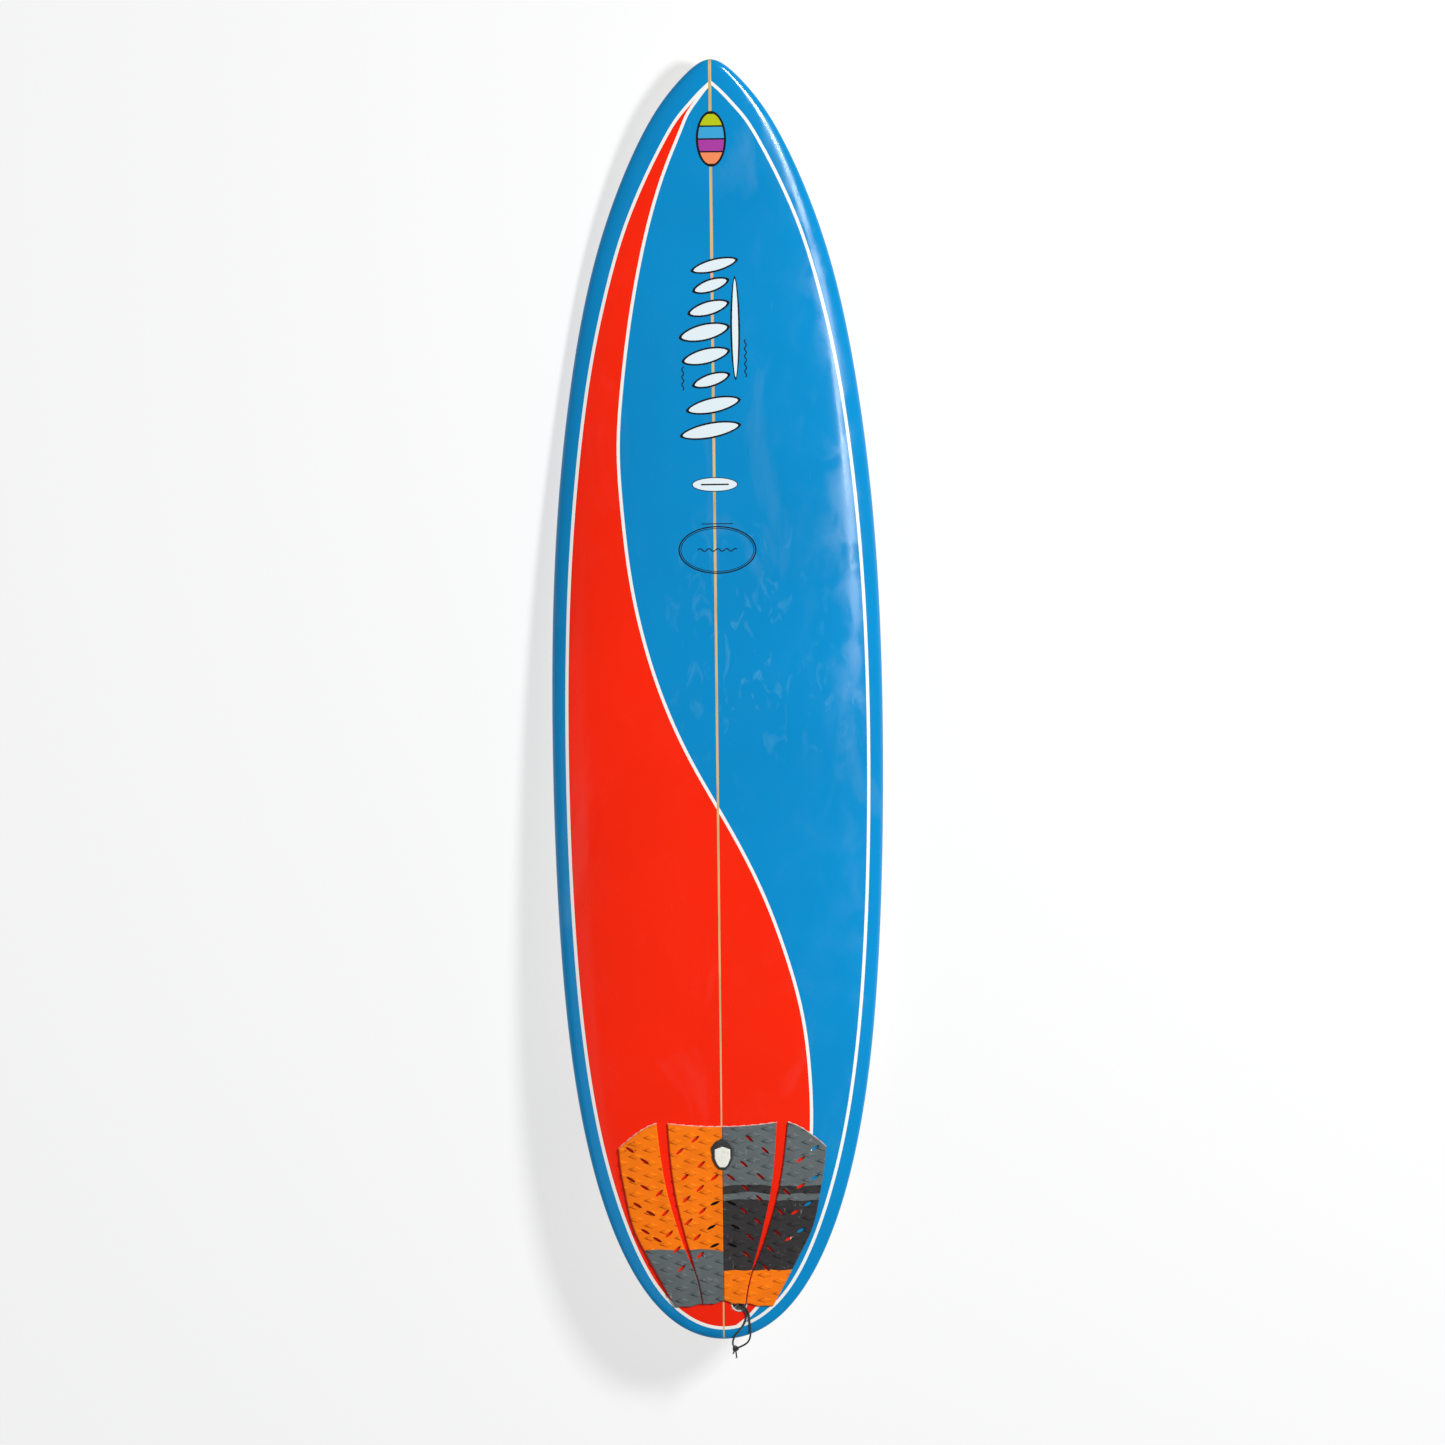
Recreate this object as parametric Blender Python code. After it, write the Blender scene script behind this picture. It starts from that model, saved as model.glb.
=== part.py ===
"""Shortboard surfboard with traction pad, tri-fin set and leash string.

Design frame: X to the right of the deck, Y to the nose, Z up, in metres. The flat middle of
the underside lies at z = 0 and the stringer on x = 0. At the end everything is turned about X
and lifted, so the board rests on its two side fins and its forward bottom at z = 0.
"""
import math

import bmesh
import bpy
import numpy as np
from mathutils import Matrix, Vector

# ---- driving dimensions ---------------------------------------------------------------------
HALF_LENGTH = 1.016
CENTRE_THICKNESS = 0.070
TIP_THICKNESS = 0.016
TIP_ROUNDING = 0.014          # length over which the thickness rounds off at each tip
FOIL_POWER = 2.2
NOSE_ROCKER = 0.115
TAIL_ROCKER = 0.050
ROCKER_FLAT = 0.10            # the underside is straight this far each way from the middle
NOSE_ROCKER_POWER = 2.6
TAIL_ROCKER_POWER = 2.0
APEX_SHARE = 0.40             # height of the rail's outermost line, as a share of thickness
DECK_CROWN_POWER = 3.0
FLAT_SHARE = 0.84             # share of the half width over which the underside is flat
TUCK_POWER = 2.6

# half widths at stations along the length, as on a shaper's template
OUTLINE = (
    (-1.016, 0.0), (-1.000, 0.061), (-0.960, 0.109), (-0.900, 0.149), (-0.800, 0.190),
    (-0.600, 0.2335), (-0.300, 0.258), (-0.050, 0.263), (0.250, 0.2545), (0.500, 0.228),
    (0.700, 0.187), (0.850, 0.1328), (0.940, 0.0842), (0.990, 0.0428), (1.016, 0.0),
)

GAP = 0.0003                  # between touching pieces
GLASS = 0.0011                # laminate thickness
CORE_DEPTH = GLASS + GAP + 0.00005   # foam and stringer below the outer skin
STRINGER_HALF = 0.00225
# stations of the shells, the same towards nose and tail
SHELL_STATIONS = (
    0.10, 0.24, 0.36, 0.47, 0.57, 0.66, 0.74, 0.81, 0.87, 0.92, 0.955, 0.98, 0.996, 1.006,
    1.012, 1.015,
)
DECK_SEGMENTS = 16
TUCK_SEGMENTS = 5

# fins: centre of the base (x, y), cant and toe-in in degrees, and the side of the fin's own X
# that faces the stringer, where the blade is flat and the grub screws are
FIN_BASE = 0.112
FIN_DEPTH = 0.115
FIN_THICKNESS = 0.0064
FIN_SEAT = 0.0008             # the canted base stands this far off the underside
FINS = {
    "left": {"x": -0.162, "y": -0.655, "cant": -5.0, "toe": -3.0, "inboard": -1},
    "centre": {"x": 0.0, "y": -0.860, "cant": 0.0, "toe": 0.0, "inboard": 0},
    "right": {"x": 0.162, "y": -0.655, "cant": 5.0, "toe": 3.0, "inboard": 1},
}
TAB_SPACING = 0.038           # tab centres from the middle of the fin base
TAB_LENGTH = 0.020
TAB_THICKNESS = 0.006
TAB_DEPTH = 0.013
FIN_PLUG_RADIUS = 0.014
FIN_PLUG_DEPTH = 0.0155
SCREW_RADIUS = 0.002
SCREW_LENGTH = 0.0076
SCREW_TILT = 25.0
SCREW_INNER_DEPTH = 0.008
HEX_SOCKET_RADIUS = 0.0012

# leash plug, flush in the deck beside the stringer
LEASH_PLUG_X = 0.024
LEASH_PLUG_Y = -0.9595
LEASH_PLUG_TURN = 42.0        # the plug is turned so the string leaves towards the rail
CUP_RADIUS = 0.0135
CUP_BORE = 0.011
CUP_HEIGHT = 0.0178
CUP_DEPTH = 0.0158
CUP_SINK = 0.0002
PIN_RADIUS = 0.00175
PIN_LENGTH = 0.026
PIN_DEPTH = 0.0075

STRING_DIAMETER = 0.003
STRING_LIFT = 0.0019          # centreline of the string above the deck it lies on
KNOT_CENTRE = (0.0172, -1.0322, 0.0415)
KNOT_RADIUS = 0.0048

# traction pad: outlines in plan, half of it, mirrored to the other side
PAD_THICKNESS = 0.005
ADHESIVE = 0.0008
PAD_LIFT = 0.00045            # adhesive above the true deck surface
CENTRE_SLIT = 0.0004
PAD_OUTER_EDGE = (
    (-0.966, 0.077), (-0.912, 0.106), (-0.872, 0.127), (-0.845, 0.140), (-0.783, 0.155),
    (-0.757, 0.160), (-0.712, 0.165),
)
PAD_TOP_Y = -0.673
PAD_TOP_CENTRE_Y = -0.679
PAD_SHOULDER_Y = -0.712
PAD_BOTTOM_Y = -0.9602
PAD_OUTER_DROP = 0.004        # the outer pieces end this much nearer the tail
PAD_ARCH = 0.006              # rise of the bottom edge at the stringer
# centre line of the gap between an inner and an outer piece
GAP_LINE = (
    (-0.9642, 0.0340), (-0.924, 0.0410), (-0.900, 0.0485), (-0.871, 0.0585), (-0.830, 0.0705),
    (-0.793, 0.0800), (-0.740, 0.0890), (-0.673, 0.0955),
)
GAP_TOP_WIDTH = 0.0175
GAP_SLIT_WIDTH = 0.0016
GAP_SLIT_Y = -0.905
GAP_POWER = 0.6
CELL = 0.014                  # largest facet of a pad piece across the board
ROW = 0.024                   # and along it


# ---- small tools ----------------------------------------------------------------------------
def clear_scene():
    for obj in list(bpy.data.objects):
        bpy.data.objects.remove(obj, do_unlink=True)


def make_material(name, colour, roughness, metallic=0.0):
    material = bpy.data.materials.new(name)
    material.use_nodes = True
    shader = material.node_tree.nodes["Principled BSDF"]
    shader.inputs["Base Color"].default_value = (*colour, 1.0)
    shader.inputs["Roughness"].default_value = roughness
    shader.inputs["Metallic"].default_value = metallic
    material.diffuse_color = (*colour, 1.0)
    return material


def natural_spline(knots, values):
    """A cubic through the given points with no bending at its ends; values may be rows."""
    knots = np.asarray(knots, dtype=float)
    values = np.asarray(values, dtype=float)
    if values.ndim == 1:
        values = values[:, None]
    count = len(knots)
    steps = np.diff(knots)
    matrix = np.eye(count)
    right = np.zeros((count, values.shape[1]))
    for i in range(1, count - 1):
        matrix[i, i - 1] = steps[i - 1]
        matrix[i, i] = 2.0 * (steps[i - 1] + steps[i])
        matrix[i, i + 1] = steps[i]
        rise = (values[i + 1] - values[i]) / steps[i]
        right[i] = 6.0 * (rise - (values[i] - values[i - 1]) / steps[i - 1])
    bends = np.linalg.solve(matrix, right)

    def evaluate(where):
        i = int(np.clip(np.searchsorted(knots, where) - 1, 0, count - 2))
        h = steps[i]
        a = (knots[i + 1] - where) / h
        b = (where - knots[i]) / h
        curve = (a ** 3 - a) * bends[i] + (b ** 3 - b) * bends[i + 1]
        return a * values[i] + b * values[i + 1] + curve * h * h / 6.0

    return evaluate


def mesh_object(name, verts, faces, material=None, smooth=True):
    """A closed mesh with its faces turned outward, as a new object."""
    mesh = bpy.data.meshes.new(name)
    mesh.from_pydata([tuple(v) for v in verts], [], faces)
    solid = bmesh.new()
    solid.from_mesh(mesh)
    bmesh.ops.recalc_face_normals(solid, faces=solid.faces)
    solid.to_mesh(mesh)
    solid.free()
    obj = bpy.data.objects.new(name, mesh)
    bpy.context.scene.collection.objects.link(obj)
    if material:
        mesh.materials.append(material)
    for polygon in mesh.polygons:
        polygon.use_smooth = smooth
    return obj


def cylinder(name, radius, bottom, top, sides, material=None):
    """A solid cylinder along its own Z from bottom to top."""
    verts = []
    for z in (bottom, top):
        for k in range(sides):
            angle = 2.0 * math.pi * k / sides
            verts.append((radius * math.cos(angle), radius * math.sin(angle), z))
    faces = [tuple(range(sides)), tuple(range(sides, 2 * sides))]
    for k in range(sides):
        after = (k + 1) % sides
        faces.append((k, after, sides + after, sides + k))
    return mesh_object(name, verts, faces, material)


def box(name, size, centre, material=None):
    half = [s / 2.0 for s in size]
    verts = []
    for sz in (-1, 1):
        for sx, sy in ((-1, -1), (1, -1), (1, 1), (-1, 1)):
            verts.append((centre[0] + sx * half[0], centre[1] + sy * half[1], centre[2] + sz * half[2]))
    faces = [(0, 1, 2, 3), (4, 5, 6, 7)]
    faces += [(k, (k + 1) % 4, 4 + (k + 1) % 4, 4 + k) for k in range(4)]
    return mesh_object(name, verts, faces, material, smooth=False)


def as_cutter(obj):
    obj.hide_render = True
    obj.display_type = "WIRE"
    return obj


def combine(obj, other, operation):
    modifier = obj.modifiers.new(f"{operation.lower()}_{other.name}", "BOOLEAN")
    modifier.object = other
    modifier.operation = operation
    modifier.solver = "EXACT"


def cut(obj, cutters):
    for cutter in cutters:
        combine(obj, cutter, "DIFFERENCE")


# ---- shape of the board ---------------------------------------------------------------------
def along(y):
    """Angle that spreads the length evenly round both tips."""
    return math.asin(max(-1.0, min(1.0, y / HALF_LENGTH)))


OUTLINE_CURVE = natural_spline([along(y) for y, _ in OUTLINE], [w for _, w in OUTLINE])


def half_width(y):
    return float(OUTLINE_CURVE(along(y))[0])


def bottom_height(y):
    """Rocker: height of the underside on the centre line."""
    reach = HALF_LENGTH - ROCKER_FLAT
    if y > ROCKER_FLAT:
        return NOSE_ROCKER * ((y - ROCKER_FLAT) / reach) ** NOSE_ROCKER_POWER
    if y < -ROCKER_FLAT:
        return TAIL_ROCKER * ((-y - ROCKER_FLAT) / reach) ** TAIL_ROCKER_POWER
    return 0.0


def thickness(y):
    foil = 1.0 - abs(y / HALF_LENGTH) ** FOIL_POWER
    full = TIP_THICKNESS + (CENTRE_THICKNESS - TIP_THICKNESS) * foil
    inside = min(1.0, max(0.0, (HALF_LENGTH - abs(y)) / TIP_ROUNDING))
    return full * math.sqrt(1.0 - (1.0 - inside) ** 2)


def rail_apex(y):
    return bottom_height(y) + rail_drop(y)


def rail_drop(y):
    """Height of the rail's outermost line above the underside; it is kept at the tips."""
    middle = APEX_SHARE * TIP_THICKNESS
    return middle + APEX_SHARE * (thickness(y) - TIP_THICKNESS) * (thickness(y) > TIP_THICKNESS)


def skin_point(y, angle):
    """Point of the outer skin: angle 0 is the deck's centre line, 90 the rail, 180 below."""
    turn = abs(angle)
    side = 1.0 if angle >= 0.0 else -1.0
    width = half_width(y)
    sine = max(0.0, math.sin(turn))
    apex = rail_apex(y)
    above = (1.0 - APEX_SHARE) * thickness(y)
    below = APEX_SHARE * thickness(y)
    if turn <= math.pi / 2.0:
        share = sine ** (2.0 / DECK_CROWN_POWER)
        return np.array((side * share * width, y, apex + above * math.cos(turn)))
    share = FLAT_SHARE + (1.0 - FLAT_SHARE) * sine ** (2.0 / TUCK_POWER)
    return np.array((side * share * width, y, apex + below * math.cos(turn)))


def deck_height(x, y):
    share = min(1.0, abs(x) / half_width(y))
    crown = math.sqrt(1.0 - share ** DECK_CROWN_POWER)
    return rail_apex(y) + (1.0 - APEX_SHARE) * thickness(y) * crown


def skin_normal(y, angle):
    """Outward unit normal of the skin, measured over a small step each way."""
    step = 0.0002
    turn = 0.01
    before = max(-HALF_LENGTH + step, y - step)
    after = min(HALF_LENGTH - step, y + step)
    lengthwise = skin_point(after, angle) - skin_point(before, angle)
    if abs(angle) > math.pi - turn:
        crosswise = np.array((-1.0, 0.0, 0.0))
    else:
        crosswise = skin_point(y, angle + turn) - skin_point(y, angle - turn)
    if abs(angle) < turn:
        crosswise = np.array((1.0, 0.0, 0.0))
    normal = np.cross(crosswise, lengthwise)
    return normal / np.linalg.norm(normal)


def inset_point(y, angle, depth):
    return skin_point(y, angle) - depth * skin_normal(y, angle)


def frame_on(origin, normal, turn=0.0):
    """Frame with Z along the normal and Y as near to the nose as it can be, turned about Z."""
    z_axis = Vector(normal).normalized()
    x_axis = Vector((0.0, 1.0, 0.0)).cross(z_axis).normalized()
    y_axis = z_axis.cross(x_axis)
    basis = Matrix((x_axis, y_axis, z_axis)).transposed().to_4x4()
    return Matrix.Translation(Vector(origin)) @ basis @ Matrix.Rotation(math.radians(turn), 4, "Z")


# ---- shells, blank and stringer -------------------------------------------------------------
STATIONS = [-s for s in reversed(SHELL_STATIONS)] + list(SHELL_STATIONS)
DECK_ANGLES = [math.pi * (k / DECK_SEGMENTS - 0.5) for k in range(DECK_SEGMENTS + 1)]
TUCK_ANGLES = [math.pi / 2.0 * (1.0 + k / TUCK_SEGMENTS) for k in range(TUCK_SEGMENTS + 1)]
BOTTOM_ANGLES = TUCK_ANGLES + [-a for a in reversed(TUCK_ANGLES)]


def laminate(name, angles, seam_shift, material):
    """Half of the glass skin: a thin tray, solid at both tips, that ends at the rail's seam."""
    last = len(STATIONS) - 1
    columns = len(angles)
    verts = []
    outer = {}
    inner = {}
    for i, y in enumerate(STATIONS):
        for j, angle in enumerate(angles):
            shift = seam_shift if j in (0, columns - 1) else 0.0
            outer[i, j] = len(verts)
            verts.append(skin_point(y, angle) + np.array((0.0, 0.0, shift)))
            if 0 < i < last:
                inner[i, j] = len(verts)
                verts.append(inset_point(y, angle, GLASS) + np.array((0.0, 0.0, shift)))
    faces = []
    for i in range(last):
        for j in range(columns - 1):
            faces.append((outer[i, j], outer[i, j + 1], outer[i + 1, j + 1], outer[i + 1, j]))
            if 0 < i < last - 1:
                faces.append((inner[i, j], inner[i, j + 1], inner[i + 1, j + 1], inner[i + 1, j]))
    for j in (0, columns - 1):
        for i in range(1, last - 1):
            faces.append((outer[i, j], outer[i + 1, j], inner[i + 1, j], inner[i, j]))
    for end, near in ((0, 1), (last, last - 1)):
        faces.append(tuple(outer[end, j] for j in range(columns)))
        faces.append(tuple(inner[near, j] for j in range(columns)))
        edge = columns - 1
        faces.append((outer[end, 0], outer[end, edge], outer[near, edge], inner[near, edge],
                      inner[near, 0], outer[near, 0]))
    return mesh_object(name, verts, faces, material)


def blank_half(name, side, material):
    """One half of the foam core, from the stringer out to just inside the glass."""
    inner_x = STRINGER_HALF + GAP
    stations = STATIONS[2:-2]
    deck = [a for a in DECK_ANGLES if a >= 0.0]
    ring_angles = deck + TUCK_ANGLES[1:]
    verts = []
    for y in stations:
        ring = [inset_point(y, angle, CORE_DEPTH) for angle in ring_angles]
        ring[0][0] = inner_x
        ring.append(np.array((inner_x, ring[-1][1], ring[-1][2])))
        verts.extend(np.array((side * p[0], p[1], p[2])) for p in ring)
    size = len(ring_angles) + 1
    return mesh_object(name, verts, tube_faces(len(stations), size), material)


def tube_faces(rows, size):
    faces = [tuple(range(size)), tuple((rows - 1) * size + j for j in range(size))]
    for i in range(rows - 1):
        for j in range(size):
            after = (j + 1) % size
            faces.append((i * size + j, i * size + after, (i + 1) * size + after, (i + 1) * size + j))
    return faces


def stringer(material):
    verts = []
    stations = STATIONS[2:-2]
    for y in stations:
        top = inset_point(y, 0.0, CORE_DEPTH)
        below = inset_point(y, math.pi, CORE_DEPTH)
        for x, point in ((-1, top), (1, top), (1, below), (-1, below)):
            verts.append((x * STRINGER_HALF, point[1], point[2]))
    return mesh_object("stringer", verts, tube_faces(len(stations), 4), material)


# ---- fins and their plugs -------------------------------------------------------------------
def fin_frame(fin, along_base=0.0, with_cant=True):
    """Frame at the fin's base: Z out of the underside, Y to the nose."""
    toe = Matrix.Rotation(math.radians(fin["toe"]), 4, "Z")
    offset = toe @ Vector((0.0, along_base, 0.0))
    x = fin["x"] + offset.x
    y = fin["y"] + offset.y
    slope = (bottom_height(y + 0.01) - bottom_height(y - 0.01)) / 0.02
    normal = Vector((0.0, slope, -1.0)).normalized()
    y_axis = Vector((0.0, 1.0, slope)).normalized()
    x_axis = y_axis.cross(normal)
    basis = Matrix((x_axis, y_axis, normal)).transposed().to_4x4()
    frame = Matrix.Translation((x, y, bottom_height(y))) @ basis
    frame = frame @ Matrix.Rotation(math.radians(-fin["toe"]), 4, "Z")
    if with_cant:
        frame = frame @ Matrix.Rotation(math.radians(-fin["cant"]), 4, "Y")
    return frame


def leading_edge(depth_share):
    return FIN_BASE / 2.0 - 0.105 * depth_share ** 1.7 - 0.018 * depth_share


def trailing_edge(depth_share):
    hollow = 0.020 * math.sin(math.pi * depth_share ** 0.9)
    return -FIN_BASE / 2.0 + hollow - 0.021 * depth_share ** 2


def foil_share(chord_share):
    """Share of the greatest thickness at a place along the chord."""
    return math.sqrt(chord_share) * (1.0 - chord_share) / 0.385 + 0.10


def fin_blade(name, flat_side, material):
    """A swept fin with a foiled section; with flat_side 0 it is foiled on both faces."""
    depths = (0.0, 0.15, 0.3, 0.45, 0.6, 0.74, 0.86, 0.94, 0.985)
    chord = (0.0, 0.06, 0.2, 0.4, 0.65, 1.0)
    verts = []
    for share in depths:
        lead = leading_edge(share)
        trail = trailing_edge(share)
        half = FIN_THICKNESS / 2.0 * (1.0 - 0.72 * share)
        z = FIN_SEAT + (FIN_DEPTH - FIN_SEAT) * share
        ring = []
        for face, places in ((1, chord), (-1, tuple(reversed(chord[1:-1])))):
            for c in places:
                out = half * foil_share(c)
                if flat_side and face == flat_side:
                    out = half * 0.25
                elif flat_side:
                    out *= 1.6
                if c in (0.0, 1.0):
                    out = 0.0
                ring.append((face * out, lead + (trail - lead) * c, z))
        verts.extend(ring)
    size = 2 * len(chord) - 2
    tip_y = (leading_edge(1.0) + trailing_edge(1.0)) / 2.0
    faces = tube_faces(len(depths), size)
    last_ring = faces.pop(1)
    tip = len(verts)
    verts.append((0.0, tip_y, FIN_DEPTH))
    faces.extend((last_ring[j], last_ring[(j + 1) % size], tip) for j in range(size))
    return mesh_object(name, verts, faces, material)


def screw_frame(frame, side):
    """Frame of a grub screw: Z points out of the board along the screw's axis."""
    tilt = Matrix.Rotation(math.radians(SCREW_TILT * side), 4, "Y")
    x = TAB_THICKNESS / 2.0 + GAP + SCREW_RADIUS * math.cos(math.radians(SCREW_TILT))
    return frame @ Matrix.Translation((side * x, 0.0, -SCREW_INNER_DEPTH)) @ tilt


def build_fin_set(position, fin, materials):
    """One fin with its two plugs and grub screws; returns the holes for the board."""
    frame = fin_frame(fin)
    blade = fin_blade(f"fin_{position}", fin["inboard"], materials["fin"])
    blade.matrix_world = frame
    pockets = []
    for end, sign in (("front", 1), ("rear", -1)):
        y = sign * TAB_SPACING
        tab_top = FIN_SEAT + 0.0012
        tab = box(f"tab_{position}_{end}", (TAB_THICKNESS, TAB_LENGTH, TAB_DEPTH + tab_top),
                  (0.0, y, (tab_top - TAB_DEPTH) / 2.0))
        tab.matrix_world = frame
        combine(blade, as_cutter(tab), "UNION")

        seat = fin_frame(fin, y, with_cant=False)
        plug = cylinder(f"fin_plug_{position}_{end}", FIN_PLUG_RADIUS, -FIN_PLUG_DEPTH, 0.0, 28,
                        materials["plug"])
        plug.matrix_world = seat
        slot_size = (TAB_THICKNESS + 2 * GAP, TAB_LENGTH + 2 * GAP, TAB_DEPTH + GAP + 0.01)
        slot = box(f"slot_{position}_{end}", slot_size,
                   (0.0, y, (0.01 - TAB_DEPTH - GAP) / 2.0))
        slot.matrix_world = frame

        axis = screw_frame(frame @ Matrix.Translation((0.0, y, 0.0)), fin["inboard"] or 1)
        bore = cylinder(f"screw_bore_{position}_{end}", SCREW_RADIUS + GAP, -0.0012, 0.02, 16)
        bore.matrix_world = axis
        cut(plug, (as_cutter(slot), as_cutter(bore)))

        screw = cylinder(f"grub_screw_{position}_{end}", SCREW_RADIUS, 0.0, SCREW_LENGTH, 16,
                         materials["steel"])
        screw.matrix_world = axis
        socket = cylinder(f"hex_socket_{position}_{end}", HEX_SOCKET_RADIUS,
                          SCREW_LENGTH - 0.0025, SCREW_LENGTH + 0.002, 6)
        socket.matrix_world = axis
        cut(screw, (as_cutter(socket),))

        pocket = cylinder(f"pocket_{position}_{end}", FIN_PLUG_RADIUS + GAP,
                          -FIN_PLUG_DEPTH - GAP, 0.01, 28)
        pocket.matrix_world = seat
        pockets.append(as_cutter(pocket))
    return pockets


# ---- leash plug and string ------------------------------------------------------------------
def deck_normal(x, y):
    step = 0.001
    slope_x = (deck_height(x + step, y) - deck_height(x - step, y)) / (2 * step)
    slope_y = (deck_height(x, y + step) - deck_height(x, y - step)) / (2 * step)
    return Vector((-slope_x, -slope_y, 1.0)).normalized()


def leash_plug_frame():
    origin = (LEASH_PLUG_X, LEASH_PLUG_Y, deck_height(LEASH_PLUG_X, LEASH_PLUG_Y) - CUP_SINK)
    return frame_on(origin, deck_normal(LEASH_PLUG_X, LEASH_PLUG_Y), LEASH_PLUG_TURN)


def build_leash_plug(materials):
    """The cup with its cross pin; returns the hole for the board."""
    frame = leash_plug_frame()
    cup = cylinder("leash_plug_cup", CUP_RADIUS, -CUP_HEIGHT, 0.0, 32, materials["plug_white"])
    cup.matrix_world = frame
    hollow = cylinder("cup_hollow", CUP_BORE, -CUP_DEPTH, 0.01, 32)
    hollow.matrix_world = frame
    across = frame @ Matrix.Translation((0.0, 0.0, -PIN_DEPTH)) @ Matrix.Rotation(math.pi / 2, 4, "Y")
    pin_hole = cylinder("pin_hole", PIN_RADIUS + GAP, -0.02, 0.02, 16)
    pin_hole.matrix_world = across
    cut(cup, (as_cutter(hollow), as_cutter(pin_hole)))
    pin = cylinder("leash_plug_pin", PIN_RADIUS, -PIN_LENGTH / 2, PIN_LENGTH / 2, 16, materials["steel"])
    pin.matrix_world = across
    pocket = cylinder("leash_plug_pocket", CUP_RADIUS + GAP, -CUP_HEIGHT - GAP, 0.01, 32)
    pocket.matrix_world = frame
    return as_cutter(pocket)


def on_deck(x, y, lift=STRING_LIFT):
    return (x, y, deck_height(x, y) + lift)


def knot_side(direction):
    """Where a strand stops, a gap short of the knot's surface."""
    reach = KNOT_RADIUS + GAP + 0.00015
    return tuple(Vector(KNOT_CENTRE) + Vector(direction).normalized() * reach)


def string_routes():
    """Centre lines of the two strands, from under the pin to the knot and back again."""
    frame = leash_plug_frame()

    def in_cup(*place):
        return tuple(frame @ Vector(place))

    left = [in_cup(0.0, -0.00015, -0.0134), in_cup(-0.0003, -0.0037, -0.01254),
            in_cup(-0.0008, -0.00604, -0.0102), in_cup(-0.0014, -0.0069, -0.0070),
            in_cup(-0.0018, -0.0069, -0.0037), in_cup(-0.0019, -0.00776, -0.0005),
            in_cup(-0.0019, -0.0101, 0.00184), in_cup(-0.0018, -0.0133, 0.0027),
            on_deck(0.0336, -0.9737, 0.0023), on_deck(0.0349, -0.9785), on_deck(0.0342, -0.9843),
            on_deck(0.0300, -0.9942), on_deck(0.0223, -1.0040, 0.0021), (0.0157, -1.0130, 0.0655),
            (0.0132, -1.0205, 0.0598), (0.0136, -1.0262, 0.0520), knot_side((-0.24, 0.42, 0.85))]
    right = [knot_side((0.90, 0.25, 0.50)), (0.0290, -1.0272, 0.0503), (0.0362, -1.0222, 0.0575),
             (0.0402, -1.0150, 0.0632), (0.0414, -1.0060, 0.0665), on_deck(0.0408, -0.9950, 0.0020),
             on_deck(0.0398, -0.9870), on_deck(0.0391, -0.9795), on_deck(0.0377, -0.9735, 0.0021),
             in_cup(0.0020, -0.0145, 0.0027), in_cup(0.0019, -0.0122, 0.00233),
             in_cup(0.0019, -0.0099, 0.00137), in_cup(0.0019, -0.0076, 0.00018),
             in_cup(0.0019, -0.0053, -0.00078), in_cup(0.0019, -0.0028, -0.00115),
             in_cup(0.0019, 0.0002, -0.00115), in_cup(0.0018, 0.00325, -0.00157),
             in_cup(0.0016, 0.0060, -0.0033), in_cup(0.0013, 0.0074, -0.0063),
             in_cup(0.0009, 0.0070, -0.0095), in_cup(0.0005, 0.0049, -0.0121),
             in_cup(0.0001, 0.0020, -0.0133), in_cup(0.0, 0.00015, -0.0134)]
    return {"leash_string_left": left, "leash_string_right": right}


def build_string(name, route, material):
    places = np.array(route)
    chords = np.linalg.norm(np.diff(places, axis=0), axis=1)
    marks = np.concatenate(([0.0], np.cumsum(chords)))
    curve_through = natural_spline(marks, places)
    count = int(marks[-1] / (0.75 * STRING_DIAMETER)) + 1
    curve = bpy.data.curves.new(name, "CURVE")
    curve.dimensions = "3D"
    curve.bevel_depth = STRING_DIAMETER / 2.0
    curve.bevel_resolution = 2
    curve.use_fill_caps = True
    spline = curve.splines.new("POLY")
    spline.points.add(count - 1)
    for k in range(count):
        point = curve_through(marks[-1] * k / (count - 1))
        spline.points[k].co = (*point, 1.0)
    curve.materials.append(material)
    obj = bpy.data.objects.new(name, curve)
    bpy.context.scene.collection.objects.link(obj)
    return obj


# the knot's cut ends: direction, length
KNOT_TAILS = (((-0.28, -0.62, -0.73), 0.015), ((0.10, -0.80, -0.59), 0.021))
KNOT_TAIL_RADIUS = 0.0012


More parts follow.
